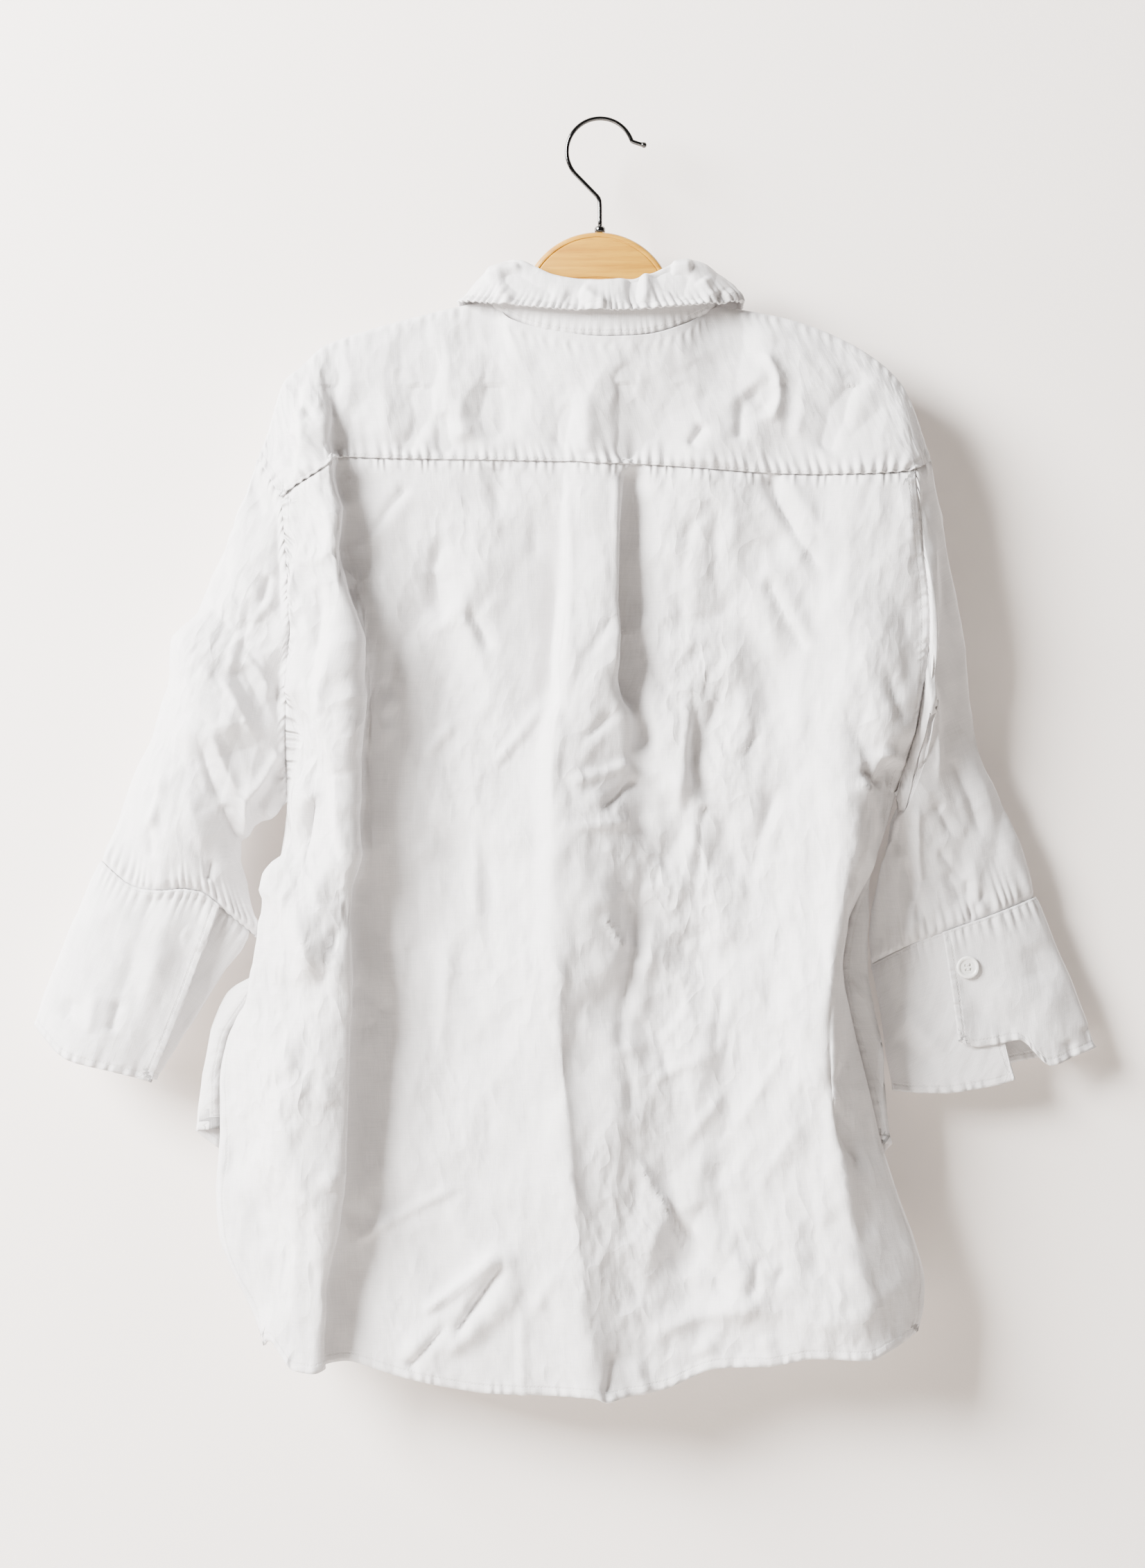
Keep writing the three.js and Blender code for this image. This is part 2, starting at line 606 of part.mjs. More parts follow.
function sleeveGrid(side, rings, cuff) {
  const { rear, front } = armholeRing(side);
  const shares = { rear: ringShares(rear), front: ringShares(front) };
  const first = { outer: [rear[0].x, rear[0].z], inner: [], mid: 0, back: 22, front: 18 };
  const armpit = rear[rear.length - 1];
  first.inner = [armpit.x, armpit.z];
  const topDrop = curve(cuff.topDrop.u, cuff.topDrop.z);
  const rows = [first, ...rings].map((ring, k) => {
    const blend = SLEEVE_BLEND[k] ?? 0;
    const make = (points, us, way) => points.map((point, i) => {
      const p = ringPoint(ring, us[i], way);
      const home = ringPoint(first, us[i], way);
      p.add(point.clone().sub(home).multiplyScalar(blend));
      if (way < 0) p.z += topDrop(us[i]) * smooth(rings.length - 2, rings.length, k);
      return p;
    });
    const backHalf = make(rear, shares.rear, -1);
    const frontHalf = make(front, shares.front, 1);
    return [...backHalf, ...frontHalf.slice(1, -1).reverse()];
  });
  return { grid: rows, shares, half: rear.length };
}

// ---- Cuffs ----------------------------------------------------------------------
function cuffGrid(sleeve, rings, cuff) {
  const lastRing = rings[rings.length - 1];
  const topDrop = curve(cuff.topDrop.u, cuff.topDrop.z);
  const footDrop = curve(cuff.footDrop.u, cuff.footDrop.z);
  const length = curve(cuff.length.q, cuff.length.t);
  const rearUs = sleeve.shares.rear;
  const frontUs = sleeve.shares.front;
  const stations = [];
  rearUs.filter((u) => u < cuff.flap[0] - 0.02).reverse().forEach((u) => stations.push([-1, u, 0]));
  stations.unshift([-1, cuff.flap[0], 1]);
  frontUs.slice(1, -1).forEach((u) => stations.push([1, u, 0]));
  rearUs.filter((u) => u > cuff.under[0] + 0.02).reverse().forEach((u) => stations.push([-1, u, 0]));
  stations.push([-1, cuff.under[0], 2]);
  const count = stations.length - 1;
  return CUFF_ROWS.map((row) => stations.map(([way, u, end], n) => {
    const q = n / count;
    const t = row * length(q);
    let share = u;
    const slant = lerp(cuff.flap[0], cuff.flap[1], t) / cuff.flap[0];
    if (way < 0 && n <= rearUs.length && q < 0.5) share = Math.min(1, u * slant);
    if (end === 2) share = lerp(cuff.under[0], cuff.under[1], t);
    const inward = cuff.lap * smooth(0.7, 0.84, q);
    const ring = {
      outer: [lerp(lastRing.outer[0], cuff.outer[0], t), lerp(lastRing.outer[1], cuff.outer[1], t)],
      inner: [lerp(lastRing.inner[0], cuff.inner[0], t), lerp(lastRing.inner[1], cuff.inner[1], t)],
      mid: lerp(lastRing.mid, cuff.mid, t),
      back: lerp(lastRing.back, cuff.back, t) - inward,
      front: lerp(lastRing.front, cuff.front, t) - inward,
    };
    const width = Math.hypot(ring.outer[0] - ring.inner[0], ring.outer[1] - ring.inner[1]);
    const pull = inward / width;
    const p = ringPoint(ring, share, way);
    const middle = ringPoint(ring, 0.5, 0);
    p.x = lerp(p.x, middle.x, 2 * pull);
    p.z = lerp(p.z, middle.z, 2 * pull);
    const drop = way < 0 ? lerp(topDrop(share), footDrop(share), t) : 0;
    const along = new THREE.Vector3(
      cuff.outer[0] - lastRing.outer[0], 0, cuff.outer[1] - lastRing.outer[1],
    ).normalize();
    p.addScaledVector(along, (1 - t) * CUFF_SEAM);
    p.z += drop;
    return p;
  }));
}

function turns(end, count) {
  const list = [];
  for (let i = 0; i <= count; i += 1) list.push(lerp(-end, end, i / count));
  return list;
}

function standGrid() {
  const rows = [0, 0.33, 0.66, 1];
  return rows.map((w) => turns(STAND_END, 36).map((turn) => {
    const foot = neckLine(turn);
    const head = foldLine(turn);
    foot.z += 1.6 + 1.4 * Math.exp(-(((Math.abs(turn) - 0.5) / 0.16) ** 2));
    head.z -= 2.6;
    const p = foot.lerp(head, w);
    p.y += 0.8 * Math.sin(Math.PI * w) * (Math.abs(turn) < 0.5 ? -1 : 1);
    p.y += (STAND_LAP * Math.sign(turn) * 0.5 + 1.2) * smooth(0.7, 1, Math.abs(turn));
    return p;
  }));
}

function fallGrid() {
  const rows = [0, 0.12, 0.26, 0.45, 0.7, 1];
  return rows.map((w) => turns(FALL_END, 40).map((turn) => {
    const top = foldLine(turn);
    const edge = fallEdge(turn);
    const out = new THREE.Vector3(edge.x - top.x, edge.y - top.y, 0);
    const lift = FALL_LIFT * Math.sin(Math.PI * Math.min(1, w * 1.25)) ** 0.8;
    const p = top.clone();
    p.addScaledVector(out, w);
    p.z = lerp(top.z + 1.6, edge.z, w ** 1.5) + lift;
    p.y += 2.4 * smooth(0.7, 1, Math.abs(turn));
    return p;
  }));
}

// ---- Front bands ---------------------------------------------------------------------
function bandGrid(panelGrid, side) {
  const edge = column(panelGrid, panelGrid[0].length - 1);
  const widths = [0, 0.25, 0.5, 0.75, 1];
  const sag = (z) => BAND_SAG * smooth(edge[0].z - 60, edge[0].z, z);
  return edge.map((p) => widths.map((w) => new THREE.Vector3(
    p.x + side * 2 * BAND_HALF * w, p.y, p.z - sag(p.z) * Math.sin(Math.PI * w) ** 0.7,
  )));
}

// ---- Build the cloth --------------------------------------------------------------------
const sleeveLeft = sleeveGrid(-1, SLEEVE_LEFT, CUFF_LEFT);
const sleeveRight = sleeveGrid(1, SLEEVE_RIGHT, CUFF_RIGHT);
const leftFront = frontGrid(FRONT_LEFT);
const rightFront = frontGrid(FRONT_RIGHT);
const buttonBand = bandGrid(leftFront, 1);
const holeBand = bandGrid(rightFront, -1);

const BACKWARD = new THREE.Vector3(0, -1, 0);
const FORWARD = new THREE.Vector3(0, 1, 0);
const armpitExtra = (half) => (i, j) => (
  i === 0 ? 0.3 + 1.5 * Math.exp(-(((j - half + 0.5) / 2.2) ** 2)) : 0
);

addSheet("back_panel", backGrid, { facing: BACKWARD });
addSheet("yoke", yokeGrid, { facing: BACKWARD });
addSheet("front_left", leftFront, { facing: FORWARD });
addSheet("front_right", rightFront, { facing: FORWARD });
addSheet("button_band", buttonBand, { facing: FORWARD, thickness: DOUBLE_CLOTH });
addSheet("buttonhole_band", holeBand, { facing: FORWARD, thickness: DOUBLE_CLOTH });
addSheet("sleeve_left", sleeveLeft.grid, {
  facing: BACKWARD, wrap: true, probe: 0.25, extra: armpitExtra(sleeveLeft.half), clear: -0.3,
});
addSheet("sleeve_right", sleeveRight.grid, {
  facing: BACKWARD, wrap: true, probe: 0.25, extra: armpitExtra(sleeveRight.half), clear: 0.3,
});
addSheet("cuff_left", cuffGrid(sleeveLeft, SLEEVE_LEFT, CUFF_LEFT), {
  facing: FORWARD, thickness: DOUBLE_CLOTH,
});
addSheet("cuff_right", cuffGrid(sleeveRight, SLEEVE_RIGHT, CUFF_RIGHT), {
  facing: FORWARD, thickness: DOUBLE_CLOTH,
});
addSheet("collar_stand", standGrid(), { facing: BACKWARD, thickness: DOUBLE_CLOTH });
addSheet("collar_fall", fallGrid(), { facing: BACKWARD, thickness: DOUBLE_CLOTH });
shareSeams();
sheets.forEach(insetEdges);

// ---- Hanger, hook and buttons ---------------------------------------------------------------
const HANGER_TOP = [
  [56, -119.5], [66, -131], [75, -143], [85, -153.5], [100, -158.5], [120, -160.5], [138, -162.5],
  [157, -165], [180, -172], [205, -181.2], [215, -187], [220, -193],
];
const HANGER_FOOT = [
  [221, -199], [216, -204.5], [205, -204], [157, -189], [100, -168], [70, -153], [45, -136], [22, -129.5],
];

function hangerOutline() {
  const right = [];
  for (let a = 0; a <= 60; a += 12) {
    const r = THREE.MathUtils.degToRad(a);
    right.push([HUMP_RADIUS * Math.sin(r), HANGER_PIVOT - HUMP_RADIUS * (1 - Math.cos(r))]);
  }
  right.push(...HANGER_TOP, ...HANGER_FOOT);
  const left = right.slice(1).reverse().map(([x, z]) => [-x, z]);
  const tilt = THREE.MathUtils.degToRad(-HANGER_TILT);
  return [...right, [0, -128], ...left].map(([x, z]) => {
    const dz = z - HANGER_PIVOT;
    return new THREE.Vector2(
      x * Math.cos(tilt) - dz * Math.sin(tilt),
      HANGER_PIVOT + x * Math.sin(tilt) + dz * Math.cos(tilt),
    );
  });
}

function hangerGeometry() {
  const outline = hangerOutline();
  const count = outline.length;
  const inset = outline.map((p, i) => {
    const before = outline[(i + count - 1) % count];
    const after = outline[(i + 1) % count];
    const a = p.clone().sub(before).normalize();
    const b = after.clone().sub(p).normalize();
    const n = new THREE.Vector2(-(a.y + b.y), a.x + b.x).normalize();
    return p.clone().addScaledVector(n, -WOOD_CHAMFER);
  });
  const area = THREE.ShapeUtils.area(outline);
  const inward = area > 0 ? -1 : 1;
  const ringOf = (i, depth) => {
    const full = outline[i];
    const cut = inset[i].clone().sub(full).multiplyScalar(inward).add(full);
    return depth ? full : cut;
  };
  const layers = [
    [-WOOD_HALF, 0], [-WOOD_HALF + WOOD_CHAMFER, 1], [WOOD_HALF - WOOD_CHAMFER, 1], [WOOD_HALF, 0],
  ];
  const position = [];
  layers.forEach(([y, full]) => outline.forEach((_, i) => {
    const p = ringOf(i, full);
    position.push(p.x, y, p.y);
  }));
  const index = [];
  for (let k = 0; k < 3; k += 1) {
    for (let i = 0; i < count; i += 1) {
      const a = k * count + i;
      const b = k * count + ((i + 1) % count);
      index.push(a, b, b + count, a, b + count, a + count);
    }
  }
  const cap = outline.map((_, i) => ringOf(i, 0));
  THREE.ShapeUtils.triangulateShape(cap, []).forEach(([a, b, c]) => {
    index.push(a, c, b);
    index.push(3 * count + a, 3 * count + b, 3 * count + c);
  });
  return solid(position, fixCaps(position, index, count));
}

// The caps must turn the same way as the rim: swap them if they don't.
function fixCaps(position, index, count) {
  const rim = new Set();
  for (let k = 0; k < 3 * count * 6; k += 3) {
    for (const [a, b] of [[0, 1], [1, 2], [2, 0]]) rim.add(`${index[k + a]}>${index[k + b]}`);
  }
  const start = 3 * count * 6;
  let clash = false;
  for (let k = start; k < index.length; k += 3) {
    for (const [a, b] of [[0, 1], [1, 2], [2, 0]]) {
      if (rim.has(`${index[k + a]}>${index[k + b]}`)) clash = true;
    }
  }
  if (clash) {
    for (let k = start; k < index.length; k += 3) {
      [index[k + 1], index[k + 2]] = [index[k + 2], index[k + 1]];
    }
  }
  return index;
}

// A round bar along points in the plane y = 0, with its own radius at each point.
function barGeometry(points, radii, sides) {
  const position = [];
  const index = [];
  points.forEach((p, i) => {
    const before = points[Math.max(0, i - 1)];
    const after = points[Math.min(points.length - 1, i + 1)];
    const way = after.clone().sub(before).normalize();
    const across = new THREE.Vector3(-way.z, 0, way.x);
    for (let k = 0; k < sides; k += 1) {
      const a = (2 * Math.PI * k) / sides;
      const q = p.clone().addScaledVector(across, radii[i] * Math.cos(a));
      q.y += radii[i] * Math.sin(a);
      position.push(q.x, q.y, q.z);
    }
  });
  for (let i = 0; i < points.length - 1; i += 1) {
    for (let k = 0; k < sides; k += 1) {
      const a = i * sides + k;
      const b = i * sides + ((k + 1) % sides);
      index.push(a, b, b + sides, a, b + sides, a + sides);
    }
  }
  const foot = (points.length - 1) * sides;
  for (let k = 1; k < sides - 1; k += 1) {
    index.push(0, k + 1, k);
    index.push(foot, foot + k, foot + k + 1);
  }
  return solid(position, index);
}

function hookGeometry() {
  const points = [];
  const radii = [];
  const add = (x, z, r = WIRE_RADIUS) => {
    points.push(new THREE.Vector3(x, 0, z));
    radii.push(r);
  };
  add(0.3, HANGER_PIVOT + 0.7);
  add(0.3, -66);
  add(0, -62.5);
  add(-1.6, -59.3);
  for (let a = 220.7; a >= 19; a -= 201.7 / 22) {
    const r = THREE.MathUtils.degToRad(a);
    add(HOOK_CENTRE[0] + HOOK_RADIUS * Math.cos(r), HOOK_CENTRE[1] + HOOK_RADIUS * Math.sin(r));
  }
  add(27, -17);
  add(32.4, -18.6);
  add(33.4, -18.8, BALL_RADIUS);
  add(35.6, -19.3, BALL_RADIUS);
  add(36.9, -19.6, 1.2);
  return barGeometry(points, radii, 12);
}

// A solid turned round an axis through its own origin, along +Y.
function turned(profile, sides) {
  const position = [];
  const index = [];
  profile.forEach(([r, y]) => {
    for (let k = 0; k < sides; k += 1) {
      const a = (2 * Math.PI * k) / sides;
      position.push(r * Math.cos(a), y, r * Math.sin(a));
    }
  });
  for (let i = 0; i < profile.length - 1; i += 1) {
    for (let k = 0; k < sides; k += 1) {
      const a = i * sides + k;
      const b = i * sides + ((k + 1) % sides);
      index.push(a, b, b + sides, a, b + sides, a + sides);
    }
  }
  const foot = (profile.length - 1) * sides;
  for (let k = 1; k < sides - 1; k += 1) {
    index.push(0, k + 1, k);
    index.push(foot, foot + k, foot + k + 1);
  }
  return solid(position, index);
}

function ferruleGeometry() {
  const inner = WIRE_RADIUS + SEAM_GAP;
  const outer = 4.2;
  const profile = [[inner, 0], [outer, 0], [outer, 3.4], [3.4, 4.4], [inner, 4.4]];
  const sides = 16;
  const position = [];
  const index = [];
  profile.forEach(([r, z]) => {
    for (let k = 0; k < sides; k += 1) {
      const a = (2 * Math.PI * k) / sides;
      position.push(0.3 + r * Math.cos(a), r * Math.sin(a), HANGER_PIVOT + 0.4 + z);
    }
  });
  const rings = profile.length;
  for (let i = 0; i < rings; i += 1) {
    for (let k = 0; k < sides; k += 1) {
      const a = i * sides + k;
      const b = i * sides + ((k + 1) % sides);
      const c = ((i + 1) % rings) * sides + k;
      const d = ((i + 1) % rings) * sides + ((k + 1) % sides);
      index.push(a, b, d, a, d, c);
    }
  }
  return solid(position, index);
}

// ---- Assembly ---------------------------------------------------------------------------------
const part = new THREE.Group();
part.name = "crumpled_blouse";

function addMesh(name, geometry, colour, roughness, metalness = 0) {
  const material = new THREE.MeshStandardMaterial({ color: colour, roughness, metalness });
  material.name = name;
  const mesh = new THREE.Mesh(geometry, material);
  mesh.name = name;
  part.add(mesh);
  return mesh;
}

const LINEN = 0xf1f1ef;
sheets.forEach((sheet) => addMesh(sheet.name, shellGeometry(sheet), LINEN, 0.9));

const rimmed = [
  [BUTTON_RADIUS - 1.2, 0], [BUTTON_RADIUS, 1], [BUTTON_RADIUS, BUTTON_HEIGHT - 0.7],
  [BUTTON_RADIUS - 0.8, BUTTON_HEIGHT], [BUTTON_RADIUS - 2, BUTTON_HEIGHT],
  [BUTTON_RADIUS - 3, BUTTON_HEIGHT - 0.7],
];
const plainButton = [[BUTTON_RADIUS - 1, 0], [BUTTON_RADIUS, 0.8], [BUTTON_RADIUS, 2.2]];

// Where a button sits on a sheet: the point at x, z on its outer or under layer,
// with the face vector there, and the height of the cloth under the whole button.
function seatOn(name, x, z, way, layer) {
  const sheet = sheets.find((s) => s.name === name);
  const { grid, face } = sheet;
  const spots = [];
  const parts = 8;
  for (let i = 0; i < grid.length - 1; i += 1) {
    for (let j = 0; j < grid[0].length - 1; j += 1) {
      if (face[i][j].y * way <= 0.2) continue;
      for (let a = 0; a <= parts; a += 1) {
        for (let b = 0; b <= parts; b += 1) {
          const top = grid[i][j].clone().lerp(grid[i][j + 1], b / parts);
          const low = grid[i + 1][j].clone().lerp(grid[i + 1][j + 1], b / parts);
          const ntop = face[i][j].clone().lerp(face[i][j + 1], b / parts);
          const nlow = face[i + 1][j].clone().lerp(face[i + 1][j + 1], b / parts);
          spots.push([top.lerp(low, a / parts), ntop.lerp(nlow, a / parts).normalize()]);
        }
      }
    }
  }
  const away = ([p]) => Math.hypot(p.x - x, p.z - z);
  const least = Math.min(...spots.map(away));
  const near = spots.filter((spot) => away(spot) < least + 3);
  near.sort((m, n) => layer * way * (n[0].y - m[0].y));
  const level = near.filter(([q]) => Math.abs(q.y - near[0][0].y) < 2);
  level.sort((a, b) => away(a) - away(b));
  const [p, n] = level[0];
  let height = 0;
  spots.forEach(([q]) => {
    const gap = q.clone().sub(p);
    const up = gap.dot(n);
    if (gap.length() < BUTTON_RADIUS + 2.5 && Math.abs(up) < 2.4) height = Math.max(height, up);
  });
  return { p: new THREE.Vector3(x, p.y, z), n, height: height + sheet.thickness / 2 + SEAM_GAP };
}

function sewButton(name, cloth, x, z, way, layer, profile, sides) {
  const seat = seatOn(cloth, x, z, way, layer);
  const mesh = addMesh(name, turned(profile, sides), 0xe9e7e2, 0.35);
  mesh.quaternion.setFromUnitVectors(new THREE.Vector3(0, 1, 0), seat.n);
  mesh.position.copy(seat.p).addScaledVector(seat.n, seat.height);
}
FRONT_BUTTON_Z.forEach((z, n) => {
  sewButton(`front_button_${n + 1}`, "buttonhole_band", 0, z, 1, 1, plainButton, 14);
});
sewButton("cuff_button_right", "cuff_right", 288, -661, -1, 1, rimmed, 20);
sewButton("cuff_button_left", "cuff_left", -315, -638, -1, -1, plainButton, 14);

addMesh("hanger_wood", hangerGeometry(), 0xdcbb82, 0.55);
addMesh("hook_wire", hookGeometry(), 0xd5d8dc, 0.18, 1);
addMesh("ferrule", ferruleGeometry(), 0xd5d8dc, 0.2, 1);

export default part;
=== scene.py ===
import math

import bmesh
import bpy
import numpy as np
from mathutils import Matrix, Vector
from mathutils.geometry import tessellate_polygon


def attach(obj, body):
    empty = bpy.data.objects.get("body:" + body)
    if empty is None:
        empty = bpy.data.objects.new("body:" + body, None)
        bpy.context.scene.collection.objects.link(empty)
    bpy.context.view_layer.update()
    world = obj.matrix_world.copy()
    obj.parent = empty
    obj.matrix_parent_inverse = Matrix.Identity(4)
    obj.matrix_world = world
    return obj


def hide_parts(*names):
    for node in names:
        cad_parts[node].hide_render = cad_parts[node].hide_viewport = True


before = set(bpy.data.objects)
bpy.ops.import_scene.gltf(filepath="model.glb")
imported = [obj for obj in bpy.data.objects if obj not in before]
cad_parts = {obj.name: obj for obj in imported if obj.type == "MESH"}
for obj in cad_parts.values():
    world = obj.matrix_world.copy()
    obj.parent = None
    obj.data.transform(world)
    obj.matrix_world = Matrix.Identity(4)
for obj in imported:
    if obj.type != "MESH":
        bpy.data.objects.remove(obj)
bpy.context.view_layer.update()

# Everything below is in millimetres, in the part's own frame, until make() turns it into
# metres. Only lights and the camera are placed in metres.

# ---- Cloth -------------------------------------------------------------------
THIN = 0.9  # one layer
DOUBLE = 1.5  # two layers
TUCK = 3.5  # how far an edge goes under its neighbour
TUCK_DEPTH = 1.25  # how deep it goes there
HEM_RISE = 0.9
HEM_WIDTH = 6.5
SEAM_STITCH = 6  # from a seam to its line of stitches
SIDE_FADE = 9  # relief fades to nothing over this, toward a seam
# From one gather to the next, along each kind of seam.
YOKE_PITCH = 8.2
HEM_PITCH = 13
CUFF_PITCH = 7.5
BACK_PLANE = 6
# Where the cloth turns over the hanger: half its width, and its fall there.
CAP_HALF = 7.4
CAP_DROP = 3.6
BAND_HALF = 14
BAND_STEP = 2.6
BAND_SAG = 7
CAMERA = (-21.1, -2450.0, -517.6)

# ---- Colours -----------------------------------------------------------------
LINEN_SHADE = (0.70, 0.684, 0.686, 1)
LINEN_LIGHT = (0.85, 0.827, 0.829, 1)
LINEN_WARM = (0.86, 0.85, 0.82, 1)
# The next colour is painted shade, for the groove of each line of stitches.
LINEN_FURROW_SHADE = (0.55, 0.54, 0.52, 1)
WOOD_DARK = (0.36, 0.15, 0.006, 1)
WOOD_LIGHT = (0.54, 0.275, 0.018, 1)
WOOD_PORE = (0.24, 0.11, 0.015, 1)
CHROME_LIGHT = (0.13, 0.13, 0.13, 1)
CHROME_DARK = (0.08, 0.078, 0.075, 1)
PEARL_DARK = (0.76, 0.75, 0.71, 1)
PEARL_LIGHT = (0.89, 0.88, 0.85, 1)
THREAD_DARK = (0.70, 0.69, 0.66, 1)
THREAD_LIGHT = (0.86, 0.85, 0.83, 1)

# ---- Hanger ------------------------------------------------------------------
HANGER_TILT = 1.2
HANGER_PIVOT = -87.6
HUMP_RADIUS = 59.5
WIRE_RADIUS = 1.7
HOOK_RADIUS = 26
HOOK_CENTRE = (0.5, -24.3)
BALL_RADIUS = 2.2
BUTTON_RADIUS = 8.85

# ---- The back: one row for each fold line ------------------------------------
# name, top (x, y, z), seam z, hem z, x and out at the five LEVELS.
LEVELS = [0, 0.14, 0.33, 0.6, 1]
BACK_FOLDS = [
    ("leftFlank", (-258, 0, -243), -287, -947, (-234, -227, -231, -274, -253),
     (22, 30, 30, 20, 22)),
    ("lobe", (-245, 0, -203), -280, -968, (-221, -212, -210, -237, -235), (30, 38, 42, 42, 32)),
    ("lobeCrest", (-232, 0, -192), -272, -970, (-209, -200, -195, -202, -220),
     (34, 43, 48, 50, 36)),
    ("lobeEdge", (-222, 0, -182), -266, -967, (-204, -194, -188, -189, -212),
     (26, 35, 40, 42, 30)),
    ("lobeUnder", (-216, 0, -177), -265, -967, (-203, -196, -190, -193, -214),
     (12, 14, 17, 18, 15)),
    ("shade", (-205, 0, -172), -264, -965, (-195, -184, -176, -177, -196), (6, 4, 2, 2, 8)),
    ("leftPlain", (-157, 0, -157), -266, -978, (-142, -137, -131, -131, -148), (12, 9, 8, 7, 14)),
    ("leftSlope", (-89, 0, -142), -267, -988, (-78, -81, -85, -82, -85), (14, 13, 15, 17, 19)),
    ("pleatShade", (-69, -18.5, -156.5), -268, -989, (-32, -32, -50, -52, -35),
     (14, 10, 21, 28, 25)),
    ("pleatLeft", (-49, -20, -163), -268, -989, (-22, -21, -36, -31, -7), (17, 26, 37, 38, 34)),
    ("pleatRidge", (-25, -23.5, -168), -270, -993, (2, 5, -12, -21, 6), (21, 30, 34, 33, 32)),
    ("pleatRight", (4, -25, -171), -270, -990, (22, 15, 19, 5, 22), (17, 22, 27, 24, 24)),
    ("pleatBack", (34, -23.5, -169.5), -270, -986, (29, 25, 38, 37, 48), (13, 9, 14, 16, 18)),
    ("rightPlain", (68, -18, -159.5), -273, -969, (78, 77, 77, 83, 91), (13, 12, 13, 17, 21)),
    ("rightHollow", (92, 0, -146), -277, -967, (131, 129, 129, 125, 130), (12, 10, 12, 22, 23)),
    ("rightSlope", (138, 0, -153), -278, -960, (169, 163, 160, 154, 167), (13, 14, 20, 35, 28)),
    ("rightCrest", (189, 0, -171), -278, -961, (200, 193, 192, 175, 204), (19, 27, 36, 46, 32)),
    ("rightTurn", (235, 0, -206), -277, -954, (225, 220, 214, 185, 224), (18, 26, 30, 30, 22)),
]
FIRST_NECK_FOLD = 9
LAST_NECK_FOLD = 14
SLEEVE_TOP_LEFT = (-265, 0, -261)
SLEEVE_TOP_RIGHT = (257, 0, -262)
ARMPIT = 0.37
VENT = 0.76
LEFT_EDGE = {
    "v": [0, 0.09, 0.19, 0.29, 0.37, 0.44, 0.48, 0.54, 0.58, 0.64, 0.7, 0.76, 0.83, 0.88,
         0.93, 0.97, 1],
    "x": [-246, -243, -239, -243, -243, -249, -258, -255, -267, -289, -295, -295, -298,
         -296, -287, -269, -260],
    "y": [-22, -24, -24, -18, -4, -3, -4, -6, -8, -9, -8, -7, -8, -9, -10, -12, -14],
    "z": [-296, -332, -401, -472, -533, -580, -612, -654, -679, -716, -751, -786, -833,
         -865, -892, -928, -953],
}
RIGHT_EDGE = {
    "v": [0, 0.09, 0.19, 0.29, 0.37, 0.44, 0.5, 0.55, 0.62, 0.69, 0.76, 0.82, 0.87, 0.92, 0.96, 1],
    "x": [244, 249, 255, 248, 230, 213, 189, 187, 199, 211, 219, 232, 245, 253, 252, 247],
    "y": [-22, -24, -22, -16, -2, -4, -9, -11, -11, -10, -8, -6, -4, -3, -4, -6],
    "z": [-275, -332, -388, -460, -528, -580, -637, -669, -717, -764, -797, -838, -873,
         -906, -924, -943],
}
BACK_ROWS = [
    0, 0.045, 0.09, 0.14, 0.19, 0.24, 0.29, 0.33, 0.37, 0.41, 0.44, 0.48,
    0.54, 0.58, 0.64, 0.7, 0.76, 0.82, 0.87, 0.92, 0.96, 1,
]
YOKE_ROWS = [0.06, 0.3, 0.55, 0.8, 1]

# ---- The fronts: name, hem z, x and y at the four lower FRONT_LEVELS ---------
FRONT_LEVELS = [0, 0.22, 0.5, 0.75, 1]
FRONT_LEFT = {
    "edge": LEFT_EDGE, "side": -1, "step": 0,
    "shares": [0, 0.7, 2, 4, 6, 7, 8],
    "flankZ": [-1000, -780, -771, -727, -705, -684, -654, -606, -580, -533, -200],
    "flankX": [-315, -315, -314, -307, -300.5, -296, -259, -260, -250, -243.5, -243.5],
    "columns": [
        ("side", -812, (-226, -232, -262, -284), (13, 12, 8, 6)),
        ("sideFold", -842, (-200, -206, -224, -240), (22, 26, 24, 20)),
        ("hollow", -872, (-158, -164, -172, -184), (15, 13, 12, 14)),
        ("fold", -894, (-116, -118, -124, -132), (24, 30, 33, 30)),
        ("plain", -908, (-78, -78, -80, -84), (17, 17, 18, 20)),
        ("neckTurn", -916, (-44, -44, -46, -48), (22, 21, 23, 24)),
        ("bandSeam", -920, (-BAND_HALF,) * 4, (24, 22, 22, 23)),
    ],
}
FRONT_RIGHT = {
    "edge": RIGHT_EDGE, "side": 1, "step": BAND_STEP,
    "shares": [19, 18.75, 18.5, 18, 17, 16, 15],
    "flankZ": [-1000, -797, -783, -758, -704, -677, -606, -580, -550, -528, -200],
    "flankX": [226, 226, 223, 225, 221, 209, 208.5, 213, 221, 227.5, 228],
    "columns": [
        ("side", -826, (232, 214, 190, 206), (13, 9, 5, 7)),
        ("sideFold", -850, (204, 192, 172, 184), (22, 24, 20, 20)),
        ("hollow", -876, (160, 156, 144, 150), (14, 13, 12, 14)),
        ("fold", -897, (116, 114, 108, 112), (25, 30, 31, 28)),
        ("plain", -910, (78, 77, 74, 76), (19, 20, 21, 22)),
        ("neckTurn", -918, (44, 44, 43, 44), (25, 24, 25, 26)),
        ("bandSeam", -922, (BAND_HALF,) * 4, (26.6, 24.6, 24.6, 25.6)),
    ],
}

